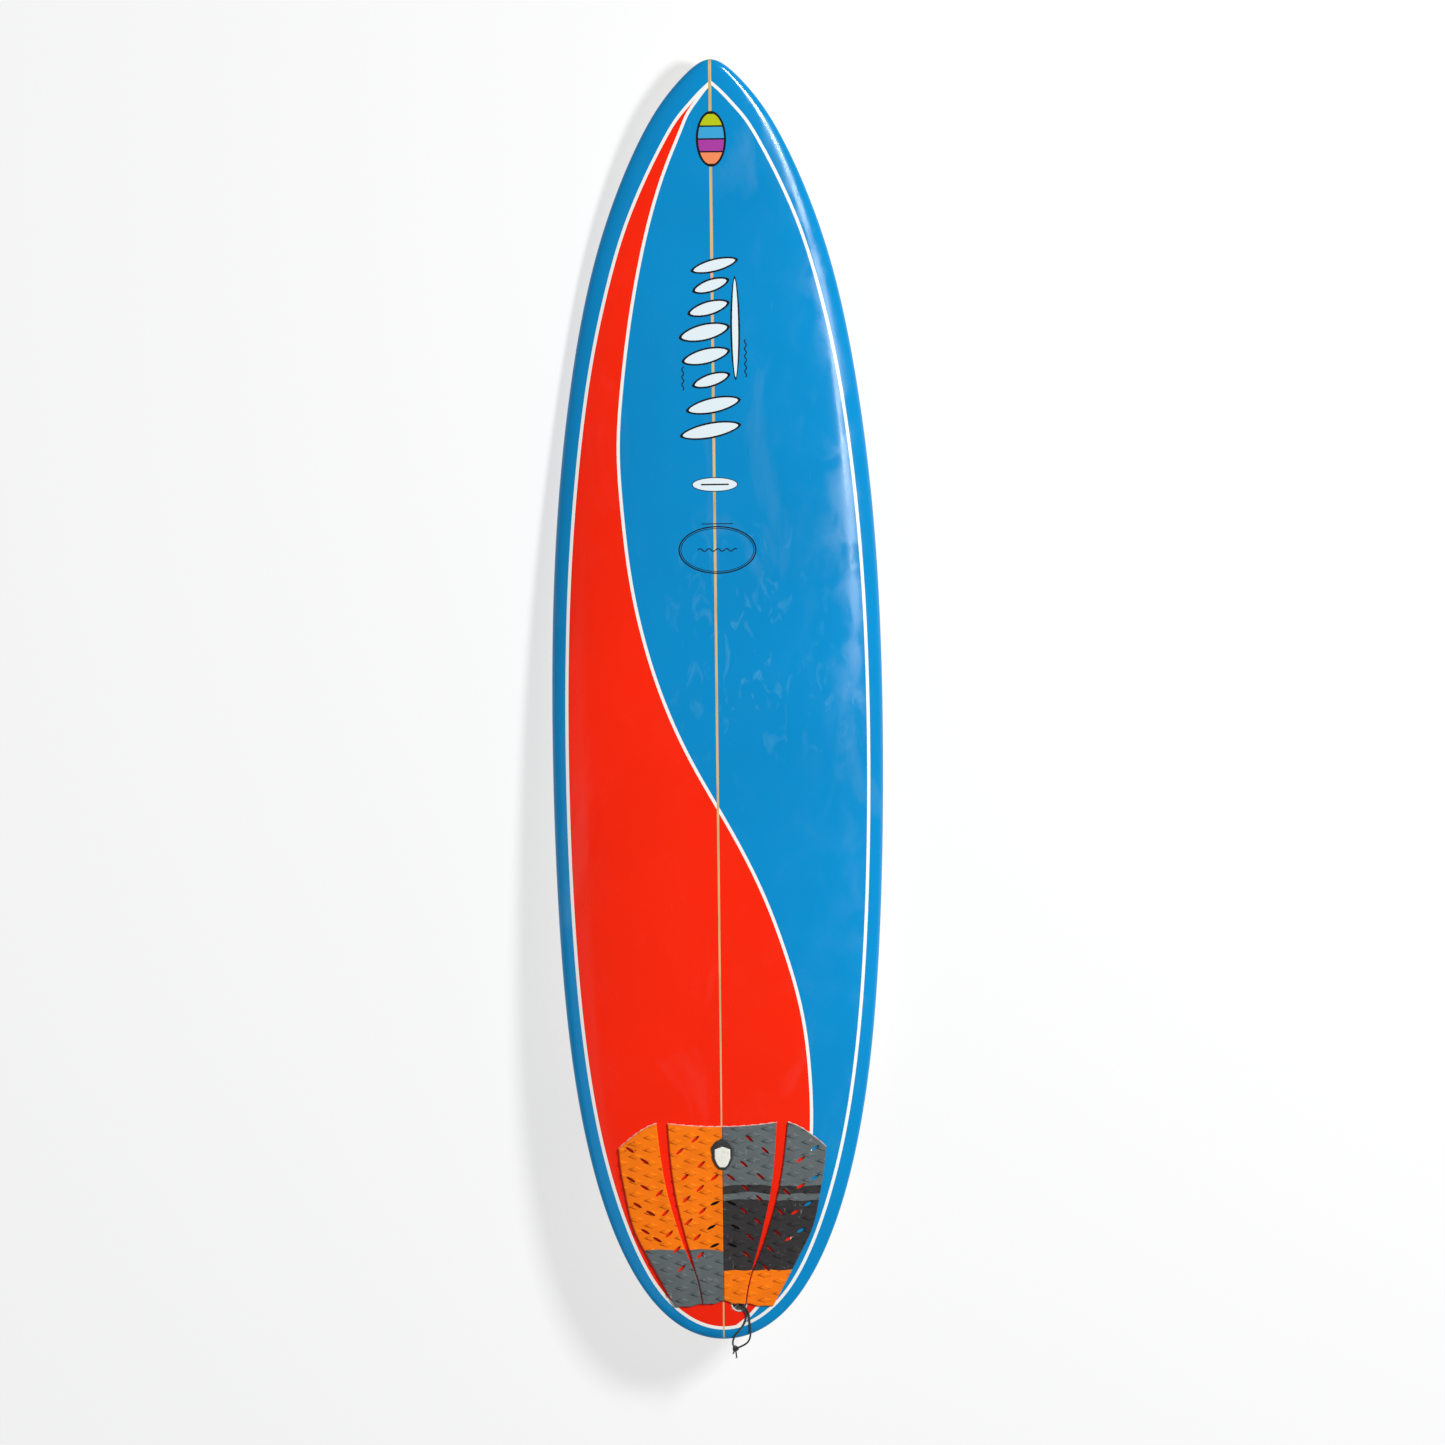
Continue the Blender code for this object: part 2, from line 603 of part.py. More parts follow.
def build_knot(material):
    """The overhand knot as one lump, with two short cut tails hanging from it."""
    rings = 8
    sides = 12
    verts = [(0.0, 0.0, KNOT_RADIUS)]
    for i in range(1, rings):
        polar = math.pi * i / rings
        radius = KNOT_RADIUS * math.sin(polar)
        z = KNOT_RADIUS * math.cos(polar)
        for k in range(sides):
            angle = 2 * math.pi * k / sides
            verts.append((radius * math.cos(angle), radius * math.sin(angle), z))
    verts.append((0.0, 0.0, -KNOT_RADIUS))
    faces = []
    for k in range(sides):
        after = (k + 1) % sides
        faces.append((0, 1 + k, 1 + after))
        for i in range(rings - 2):
            row = 1 + i * sides
            faces.append((row + k, row + sides + k, row + sides + after, row + after))
        row = 1 + (rings - 2) * sides
        faces.append((row + k, row + after, len(verts) - 1))
    knot = mesh_object("leash_string_knot", verts, faces, material)
    knot.location = KNOT_CENTRE
    for number, (direction, length) in enumerate(KNOT_TAILS):
        tail = cylinder(f"knot_tail_{number}", KNOT_TAIL_RADIUS, 0.0, length, 8)
        turn = Vector(direction).normalized().to_track_quat("Z", "Y").to_matrix().to_4x4()
        tail.matrix_world = Matrix.Translation(Vector(KNOT_CENTRE)) @ turn
        combine(knot, as_cutter(tail), "UNION")
    return knot


# ---- traction pad ---------------------------------------------------------------------------
OUTER_EDGE_CURVE = natural_spline([y for y, _ in PAD_OUTER_EDGE], [x for _, x in PAD_OUTER_EDGE])
GAP_CURVE = natural_spline([y for y, _ in GAP_LINE], [x for _, x in GAP_LINE])


def pad_outer_edge(y):
    return float(OUTER_EDGE_CURVE(max(y, PAD_OUTER_EDGE[0][0] - 0.003))[0])


def gap_centre(y):
    return float(GAP_CURVE(y)[0])


def gap_half(y):
    share = max(0.0, (y - GAP_SLIT_Y) / (PAD_TOP_Y - GAP_SLIT_Y))
    return (GAP_SLIT_WIDTH + (GAP_TOP_WIDTH - GAP_SLIT_WIDTH) * share ** GAP_POWER) / 2.0


PAD_PIECES = {
    "outer": (lambda y: gap_centre(y) + gap_half(y), pad_outer_edge),
    "inner": (lambda y: CENTRE_SLIT / 2.0 + 0.0002, lambda y: gap_centre(y) - gap_half(y)),
}


def pad_top(piece, share):
    """The top edge, share 0 on the piece's inner side; the outer piece slopes to its shoulder."""
    if piece == "inner":
        return PAD_TOP_CENTRE_Y + (PAD_TOP_Y - PAD_TOP_CENTRE_Y) * share ** 2
    return PAD_TOP_Y + (PAD_SHOULDER_Y - PAD_TOP_Y) * share ** 1.4


def pad_bottom(piece, share):
    """The bottom edge, with an arch over the stringer."""
    if piece == "inner":
        return PAD_BOTTOM_Y + PAD_ARCH * max(0.0, 1.0 - share / 0.55) ** 1.5
    return PAD_BOTTOM_Y - PAD_OUTER_DROP * min(1.0, share / 0.5)


def pad_solid(name, piece, side, low, high, base, top, material):
    """A slab of the pad between two heights above the deck; low and high give its two ends."""
    inner_edge, outer_edge = PAD_PIECES[piece]
    widest = max(outer_edge(y) - inner_edge(y) for y in (PAD_BOTTOM_Y, -0.85, -0.75, -0.70))
    columns = max(3, math.ceil(widest / CELL))
    rows = max(1, math.ceil((high(0.0) - low(0.0)) / ROW))
    verts = []
    for z_lift in (base, top):
        for i in range(rows + 1):
            for j in range(columns + 1):
                share = j / columns
                y = low(share) + (high(share) - low(share)) * i / rows
                x = inner_edge(y) + (outer_edge(y) - inner_edge(y)) * share
                verts.append((side * x, y, deck_height(x, y) + z_lift))
    layer = (rows + 1) * (columns + 1)

    def at(i, j, level):
        return level * layer + i * (columns + 1) + j

    faces = []
    for i in range(rows):
        for j in range(columns):
            for level in (0, 1):
                near = (at(i, j, level), at(i, j + 1, level))
                faces.append((*near, at(i + 1, j + 1, level), at(i + 1, j, level)))
    for i in range(rows):
        for j in (0, columns):
            faces.append((at(i, j, 0), at(i + 1, j, 0), at(i + 1, j, 1), at(i, j, 1)))
    for j in range(columns):
        for i in (0, rows):
            faces.append((at(i, j, 0), at(i, j + 1, 0), at(i, j + 1, 1), at(i, j, 1)))
    return mesh_object(name, verts, faces, material, smooth=False)


# colour blocks from tail to front: name, material and the y where the block ends
PAD_BLOCKS = {
    -1: (("grey", "pad_grey", -0.873), ("orange", "pad_orange", None)),
    1: (("orange", "pad_orange", -0.907), ("black", "pad_black", -0.797),
        ("grey_stripe", "pad_grey", -0.786), ("black_stripe", "pad_black", -0.774),
        ("grey", "pad_grey", None)),
}
SIDE_NAMES = {-1: "left", 1: "right"}


def build_pads(materials):
    base = PAD_LIFT + ADHESIVE + GAP
    for side, blocks in PAD_BLOCKS.items():
        for piece in PAD_PIECES:
            label = f"{SIDE_NAMES[side]}_{piece}"

            def bottom_edge(share, piece=piece):
                return pad_bottom(piece, share)

            def top_edge(share, piece=piece):
                return pad_top(piece, share)

            pad_solid(f"pad_adhesive_{label}", piece, side, bottom_edge, top_edge,
                      PAD_LIFT, PAD_LIFT + ADHESIVE, materials["adhesive"])
            low = bottom_edge
            for block, material, end in blocks:
                high = top_edge if end is None else (lambda share, end=end: end - GAP / 2)
                pad_solid(f"pad_{label}_{block}", piece, side, low, high,
                          base, base + PAD_THICKNESS, materials[material])
                low = (lambda share, end=end: end + GAP / 2) if end is not None else low


def build_badge(material):
    """A plain moulded shield on the pad's front edge, over the join of the inner pieces."""
    outline = [(-0.0165, 0.010), (-0.010, 0.020), (0.0, 0.024), (0.010, 0.020), (0.0165, 0.010),
               (0.015, -0.006), (0.008, -0.022), (-0.008, -0.022), (-0.015, -0.006)]
    centre_y = -0.722
    lift = PAD_LIFT + ADHESIVE + GAP + PAD_THICKNESS + GAP + 0.0001
    heights = (lift, lift + 0.0012)
    level = deck_height(0.0, centre_y)
    verts = []
    for height in heights:
        for x, y in outline:
            slope = (deck_height(0.0, centre_y + 0.02) - deck_height(0.0, centre_y - 0.02)) / 0.04
            verts.append((x, centre_y + y, level + slope * y + height))
    count = len(outline)
    faces = [tuple(range(count)), tuple(range(count, 2 * count))]
    faces += [(k, (k + 1) % count, count + (k + 1) % count, count + k) for k in range(count)]
    return mesh_object("pad_badge", verts, faces, material, smooth=False)


# ---- assembly -------------------------------------------------------------------------------
def side_profile(obj):
    """Points (y, z) of an object in the design frame, with its modifiers."""
    graph = bpy.context.evaluated_depsgraph_get()
    shaped = obj.evaluated_get(graph)
    mesh = shaped.to_mesh()
    points = [obj.matrix_world @ v.co for v in mesh.vertices]
    shaped.to_mesh_clear()
    return [(p.y, p.z) for p in points]


def rest_on_floor():
    """Turn everything about X and lift it, so fin tips and forward bottom touch z = 0."""
    bpy.context.view_layer.update()
    tip_y, tip_z = min(side_profile(bpy.data.objects["fin_left"]), key=lambda p: p[1])
    bottom = side_profile(bpy.data.objects["bottom_glass"])
    pitch = min(math.atan2(z - tip_z, y - tip_y) for y, z in bottom if y > 0.1)
    turn = Matrix.Rotation(-pitch, 4, "X")
    lift = -(turn @ Vector((0.0, tip_y, tip_z))).z
    rest = Matrix.Translation((0.0, 0.0, lift)) @ turn
    print(f"REST pitch_deg {math.degrees(pitch):.5f} lift {lift:.6f}")
    for obj in bpy.data.objects:
        obj.matrix_world = rest @ obj.matrix_world


def build():
    clear_scene()
    materials = {
        "blue": make_material("deck_gloss", (0.0, 0.29, 0.62), 0.15),
        "bottom": make_material("bottom_gloss", (0.78, 0.78, 0.74), 0.15),
        "foam": make_material("blank_foam", (0.86, 0.84, 0.76), 0.9),
        "wood": make_material("stringer_wood", (0.62, 0.44, 0.24), 0.6),
        "fin": make_material("fin_resin", (0.03, 0.03, 0.035), 0.25),
        "plug": make_material("fin_plug_plastic", (0.05, 0.05, 0.05), 0.4),
        "plug_white": make_material("leash_plug_plastic", (0.82, 0.82, 0.78), 0.35),
        "steel": make_material("stainless_steel", (0.6, 0.6, 0.6), 0.3, 1.0),
        "string": make_material("string_nylon", (0.015, 0.017, 0.02), 0.8),
        "pad_orange": make_material("eva_orange", (1.0, 0.18, 0.01), 0.85),
        "pad_grey": make_material("eva_grey", (0.10, 0.12, 0.12), 0.85),
        "pad_black": make_material("eva_black", (0.03, 0.03, 0.03), 0.85),
        "adhesive": make_material("adhesive_film", (0.78, 0.62, 0.58), 0.7),
        "badge": make_material("badge_rubber", (0.02, 0.02, 0.02), 0.5),
    }
    deck_glass = laminate("deck_glass", DECK_ANGLES, GAP / 2, materials["blue"])
    bottom_glass = laminate("bottom_glass", BOTTOM_ANGLES, -GAP / 2, materials["bottom"])
    halves = [blank_half("foam_blank_left", -1, materials["foam"]),
              blank_half("foam_blank_right", 1, materials["foam"])]
    spine = stringer(materials["wood"])

    pockets = {position: build_fin_set(position, fin, materials) for position, fin in FINS.items()}
    cut(bottom_glass, pockets["left"] + pockets["centre"] + pockets["right"])
    cut(halves[0], pockets["left"] + pockets["centre"])
    cut(halves[1], pockets["right"] + pockets["centre"])
    cut(spine, pockets["centre"])

    leash_pocket = build_leash_plug(materials)
    cut(deck_glass, [leash_pocket])
    cut(halves[1], [leash_pocket])
    for name, route in string_routes().items():
        build_string(name, route, materials["string"])
    build_knot(materials["string"])

    build_pads(materials)
    build_badge(materials["badge"])
    rest_on_floor()


build()
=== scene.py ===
"""Looks of the shortboard surfboard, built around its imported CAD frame.

Shapes are computed in the design frame of the board (X to the right of the deck, Y to the nose,
Z up, flat of the underside at z = 0, metres) and turned into the rest pose by REST.
"""
import math
import random

import bmesh
import bpy
import numpy as np
from mathutils import Matrix, Vector


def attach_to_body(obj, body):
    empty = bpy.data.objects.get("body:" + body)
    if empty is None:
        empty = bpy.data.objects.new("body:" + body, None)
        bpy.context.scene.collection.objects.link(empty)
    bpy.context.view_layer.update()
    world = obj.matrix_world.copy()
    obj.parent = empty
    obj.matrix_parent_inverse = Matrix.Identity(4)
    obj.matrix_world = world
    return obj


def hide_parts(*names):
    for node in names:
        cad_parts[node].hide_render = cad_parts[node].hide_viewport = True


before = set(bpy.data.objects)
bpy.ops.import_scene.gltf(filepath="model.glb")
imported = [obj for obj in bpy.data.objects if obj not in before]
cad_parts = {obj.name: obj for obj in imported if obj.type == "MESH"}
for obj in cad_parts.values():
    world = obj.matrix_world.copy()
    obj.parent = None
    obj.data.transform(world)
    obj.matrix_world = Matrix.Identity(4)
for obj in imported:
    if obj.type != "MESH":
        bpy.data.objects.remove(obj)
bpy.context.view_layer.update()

MM = 0.001
BOARD = "board"

# ---- rest pose and shape of the board, as in the CAD source -----------------------------------
REST_PITCH_DEG = 4.84978
REST_LIFT = 0.028883
REST = Matrix.Translation((0.0, 0.0, REST_LIFT)) @ Matrix.Rotation(-math.radians(REST_PITCH_DEG), 4, "X")

HALF_LENGTH = 1.016
CENTRE_THICKNESS = 0.070
TIP_THICKNESS = 0.016
TIP_ROUNDING = 0.014
FOIL_POWER = 2.2
NOSE_ROCKER = 0.115
TAIL_ROCKER = 0.050
ROCKER_FLAT = 0.10
NOSE_ROCKER_POWER = 2.6
TAIL_ROCKER_POWER = 2.0
APEX_SHARE = 0.40
DECK_CROWN_POWER = 3.0
FLAT_SHARE = 0.84
TUCK_POWER = 2.6
OUTLINE = (
    (-1.016, 0.0), (-1.000, 0.061), (-0.960, 0.109), (-0.900, 0.149), (-0.800, 0.190),
    (-0.600, 0.2335), (-0.300, 0.258), (-0.050, 0.263), (0.250, 0.2545), (0.500, 0.228),
    (0.700, 0.187), (0.850, 0.1328), (0.940, 0.0842), (0.990, 0.0428), (1.016, 0.0),
)
GAP = 0.3 * MM
SKIN = 0.8 * MM               # thickness of the shown skins
PAINT_EDGE_DEG = 125.0        # the deck's colour wraps round the rail to here


def spline(knots, values):
    """A cubic through the given points with no bending at its ends; places may be an array."""
    knots = np.asarray(knots, float)
    values = np.asarray(values, float)
    rows = values.reshape(len(knots), -1)
    steps = np.diff(knots)
    matrix = np.eye(len(knots))
    right = np.zeros_like(rows)
    for i in range(1, len(knots) - 1):
        matrix[i, i - 1] = steps[i - 1]
        matrix[i, i] = 2.0 * (steps[i - 1] + steps[i])
        matrix[i, i + 1] = steps[i]
        rise = (rows[i + 1] - rows[i]) / steps[i]
        right[i] = 6.0 * (rise - (rows[i] - rows[i - 1]) / steps[i - 1])
    bends = np.linalg.solve(matrix, right)

    def evaluate(where):
        where = np.asarray(where, float)
        flat = where.ravel()
        i = np.clip(np.searchsorted(knots, flat) - 1, 0, len(knots) - 2)
        h = steps[i][:, None]
        a = (knots[i + 1] - flat)[:, None] / h
        b = 1.0 - a
        curve = (a ** 3 - a) * bends[i] + (b ** 3 - b) * bends[i + 1]
        found = a * rows[i] + b * rows[i + 1] + curve * h * h / 6.0
        return found.reshape(where.shape) if values.ndim == 1 else found

    return evaluate


def side_curve(points):
    """x over y, smooth through the given (y, x) points."""
    return spline([y for y, _ in points], [x for _, x in points])


OUTLINE_CURVE = spline([math.asin(y / HALF_LENGTH) for y, _ in OUTLINE], [w for _, w in OUTLINE])


def half_width(y):
    return OUTLINE_CURVE(np.arcsin(np.clip(np.asarray(y) / HALF_LENGTH, -1.0, 1.0)))


def bottom_height(y):
    reach = HALF_LENGTH - ROCKER_FLAT
    nose = NOSE_ROCKER * (np.maximum(y - ROCKER_FLAT, 0.0) / reach) ** NOSE_ROCKER_POWER
    tail = TAIL_ROCKER * (np.maximum(-y - ROCKER_FLAT, 0.0) / reach) ** TAIL_ROCKER_POWER
    return nose + tail


def thickness(y):
    foil = 1.0 - np.abs(y / HALF_LENGTH) ** FOIL_POWER
    full = TIP_THICKNESS + (CENTRE_THICKNESS - TIP_THICKNESS) * foil
    inside = np.clip((HALF_LENGTH - np.abs(y)) / TIP_ROUNDING, 0.0, 1.0)
    return full * np.sqrt(1.0 - (1.0 - inside) ** 2)


def rail_apex(y):
    """Height of the rail's outermost line."""
    return bottom_height(y) + APEX_SHARE * np.maximum(thickness(y), TIP_THICKNESS)


def deck_height(x, y):
    share = np.clip(np.abs(x) / np.maximum(half_width(y), 1e-6), 0.0, 1.0)
    crown = np.sqrt(1.0 - share ** DECK_CROWN_POWER)
    return rail_apex(y) + (1.0 - APEX_SHARE) * thickness(y) * crown


def skin_point(y, angle, flat):
    """Points of the outer skin: angle 0 is the deck's centre line, 90 degrees the rail, 180 below.

    flat below 1 moves towards the centre line on the flat of the underside.
    """
    turn = np.abs(angle)
    sine = np.maximum(np.sin(turn), 0.0)
    on_deck = turn <= math.pi / 2.0
    above = (1.0 - APEX_SHARE) * thickness(y)
    below = APEX_SHARE * thickness(y)
    deck_share = sine ** (2.0 / DECK_CROWN_POWER)
    tuck_share = FLAT_SHARE + (1.0 - FLAT_SHARE) * sine ** (2.0 / TUCK_POWER)
    share = np.where(on_deck, deck_share, tuck_share) * flat
    z = rail_apex(y) + np.where(on_deck, above, below) * np.cos(turn)
    x = np.sign(angle) * share * half_width(y)
    return np.stack(np.broadcast_arrays(x, y, z), axis=-1)


# ---- mesh tools -------------------------------------------------------------------------------
def to_world(points):
    points = np.asarray(points, float).reshape(-1, 3)
    turn = np.array(REST.to_3x3())
    return points @ turn.T + np.array(REST.translation)


def add_mesh(name, points, faces, material=None, sharp_deg=40.0, placed=False):
    """A new closed mesh with outward faces; the points are in the design frame unless placed."""
    mesh = bpy.data.meshes.new(name)
    corners = np.asarray(points, float) if placed else to_world(points)
    mesh.from_pydata(corners.tolist(), [], faces)
    solid = bmesh.new()
    solid.from_mesh(mesh)
    bmesh.ops.remove_doubles(solid, verts=solid.verts, dist=1e-7)
    bmesh.ops.dissolve_degenerate(solid, dist=1e-8, edges=solid.edges)
    bmesh.ops.recalc_face_normals(solid, faces=solid.faces)
    solid.to_mesh(mesh)
    solid.free()
    mesh.polygons.foreach_set("use_smooth", [True] * len(mesh.polygons))
    mesh.set_sharp_from_angle(angle=math.radians(sharp_deg))
    obj = bpy.data.objects.new(name, mesh)
    bpy.context.scene.collection.objects.link(obj)
    if material:
        mesh.materials.append(material)
    return obj


def grid_faces(rows, columns, wrap, start=0):
    """Quads of a grid of points; wrap joins the last column to the first."""
    i = np.arange(rows - 1)[:, None]
    j = np.arange(columns if wrap else columns - 1)[None, :]
    after = (j + 1) % columns
    corners = (i * columns + j, i * columns + after, (i + 1) * columns + after, (i + 1) * columns + j)
    return (np.stack([c + 0 * (i + j) for c in corners], axis=-1) + start).reshape(-1, 4)


def shell(name, upper, lower, material, wrap=False, wrap_rows=False, **options):
    """The closed body between two grids of points [rows, columns, 3]."""
    rows, columns = upper.shape[:2]
    if wrap_rows:
        upper = np.concatenate([upper, upper[:1]])
        lower = np.concatenate([lower, lower[:1]])
        rows += 1
    layer = rows * columns
    faces = [grid_faces(rows, columns, wrap), grid_faces(rows, columns, wrap, layer)]
    rims = []
    if not wrap_rows:
        rims += [[row * columns + j for j in range(columns)] for row in (0, rows - 1)]
    if not wrap:
        rims += [[i * columns + column for i in range(rows)] for column in (0, columns - 1)]
    for number, rim in enumerate(rims):
        closed = wrap and not wrap_rows and number < 2
        ends = rim[1:] + rim[:1] if closed else rim[1:]
        faces.append(np.array([(a, b, b + layer, a + layer) for a, b in zip(rim, ends)]))
    points = np.concatenate([upper.reshape(-1, 3), lower.reshape(-1, 3)])
    return add_mesh(name, points, np.concatenate(faces).tolist(), material, **options)


def on_deck(grid, lift):
    """A grid of (x, y) places raised from the deck's surface."""
    x, y = grid[..., 0], grid[..., 1]
    return np.stack([x, y, deck_height(x, y) + lift], axis=-1)


SUNK = 0.3 * MM               # how far a coloured film reaches below the deck's surface


def attach(piece, slot, *nodes, body=BOARD):
    """Names the body a piece rides on and hides the CAD nodes it stands for; the slot of its finish is not
    used.
    """
    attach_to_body(piece, body)
    if nodes:
        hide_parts(*nodes)
    return piece


def deck_shell(name, grid, level, colour, **options):
    """A thin coloured body on the deck over a grid of (x, y) places; level and colour are names."""
    return shell(name, on_deck(grid, LIFTS[level]), on_deck(grid, -SUNK), MATERIALS[colour], **options)


def film(name, grid, level, colour, slot="deck_gloss", **options):
    """A deck shell that is a piece of its own."""
    return attach(deck_shell(name, grid, level, colour, **options), slot)


def ribbon(line, width, columns=3, closed=False):
    """Grid of places across a line of (x, y) points; the width may differ along it."""
    line = np.asarray(line, float)
    if closed:
        ahead = np.roll(line, -1, axis=0) - np.roll(line, 1, axis=0)
    else:
        ahead = np.gradient(line, axis=0)
    ahead /= np.linalg.norm(ahead, axis=1)[:, None]
    across = np.stack([ahead[:, 1], -ahead[:, 0]], axis=-1)
    shares = np.linspace(-0.5, 0.5, columns)[None, :, None]
    widths = np.broadcast_to(np.asarray(width, float), (len(line),))[:, None, None]
    return line[:, None, :] + across[:, None, :] * shares * widths


def ellipse(centre, semi_x, semi_y, count):
    angle = np.linspace(0.0, 2.0 * math.pi, count, endpoint=False)
    x = centre[0] + semi_x * np.cos(angle)
    y = centre[1] + semi_y * np.sin(angle)
    return np.stack([x, y], axis=-1)


def joined(name, objects):
    """One object from several; their meshes are put together as they are."""
    whole = bmesh.new()
    for obj in objects:
        whole.from_mesh(obj.data)
    keep = objects[0]
    whole.to_mesh(keep.data)
    whole.free()
    for obj in objects[1:]:
        bpy.data.objects.remove(obj)
    keep.name = name
    return keep


def boolean(obj, other, operation="DIFFERENCE"):
    """Applies one Boolean to the mesh and removes the other object."""
    modifier = obj.modifiers.new(operation.lower(), "BOOLEAN")
    modifier.object = other
    modifier.operation = operation
    modifier.solver = "EXACT"
    modifier.material_mode = "TRANSFER"
    shaped = obj.evaluated_get(bpy.context.evaluated_depsgraph_get())
    mesh = bpy.data.meshes.new_from_object(shaped)
    obj.modifiers.clear()
    obj.data = mesh
    bpy.data.objects.remove(other)
    return obj


ROD_SIDES = 48
BRAID_STRANDS = 4
BRAID_PITCH = 5.2 * MM


def revolved(name, profile, place, material, sides):
    """A closed turned body: the profile's (radius, height) points go round the place's Z axis."""
    angle = np.linspace(0.0, 2.0 * math.pi, sides, endpoint=False)
    points = []
    for radius, height in profile:
        points += [tuple(place @ Vector((radius * math.cos(a), radius * math.sin(a), height))) for a in angle]
    faces = grid_faces(len(profile), sides, True).tolist()
    return add_mesh(name, points, faces, material)


def rod(name, radius, low, high, place):
    """A plain closed cylinder, used to cut holes."""
    profile = ((0.0, low), (radius, low), (radius, high), (0.0, high))
    return revolved(name, profile, place, None, ROD_SIDES)


def travel(points):
    """How far along a line each of its points is."""
    steps = np.linalg.norm(np.diff(np.asarray(points, float), axis=0), axis=1)
    return np.concatenate([[0.0], np.cumsum(steps)])


def tube(points, radius, sides, weave):
    """Points and faces of a closed tube along a line; weave raises a braid of that share."""
    points = np.asarray(points, float)
    radius = np.broadcast_to(np.asarray(radius, float), (len(points),))
    ahead = np.gradient(points, axis=0)
    ahead /= np.linalg.norm(ahead, axis=1)[:, None]
    side = np.cross(ahead[0], (0.0, 0.0, 1.0))
    if np.linalg.norm(side) < 0.1:
        side = np.cross(ahead[0], (1.0, 0.0, 0.0))
    marks = travel(points)
    angle = np.linspace(0.0, 2.0 * math.pi, sides, endpoint=False)
    wound = BRAID_STRANDS * angle / 2.0
    verts = [points[0]]
    for k, point in enumerate(points):
        side = side - ahead[k] * (side @ ahead[k])
        side /= np.linalg.norm(side)
        up = np.cross(ahead[k], side)
        turn = 2.0 * math.pi * marks[k] / BRAID_PITCH
        braid = np.abs(np.sin(wound + turn) * np.sin(wound - turn))
        reach = radius[k] * (1.0 + weave * (braid - 0.5))
        verts += list(point + reach[:, None] * (np.cos(angle)[:, None] * side + np.sin(angle)[:, None] * up))
    verts.append(points[-1])
    faces = (grid_faces(len(points), sides, True) + 1).tolist()
    last = len(verts) - 1
    for j in range(sides):
        after = (j + 1) % sides
        faces.append((0, 1 + after, 1 + j))
        faces.append((last, last - sides + j, last - sides + after))
    return verts, faces


def resampled(points, step):
    """Points at an even step on a smooth curve through the given ones."""
    marks = travel(points)
    count = max(4, int(marks[-1] / step) + 1)
    return spline(marks, points)(np.linspace(0.0, marks[-1], count))


# ---- materials --------------------------------------------------------------------------------
def linear(red, green, blue):
    """A scene colour from its 0 to 255 screen values."""
    shares = [c / 255.0 for c in (red, green, blue)]
    return tuple(s / 12.92 if s <= 0.04045 else ((s + 0.055) / 1.055) ** 2.4 for s in shares)


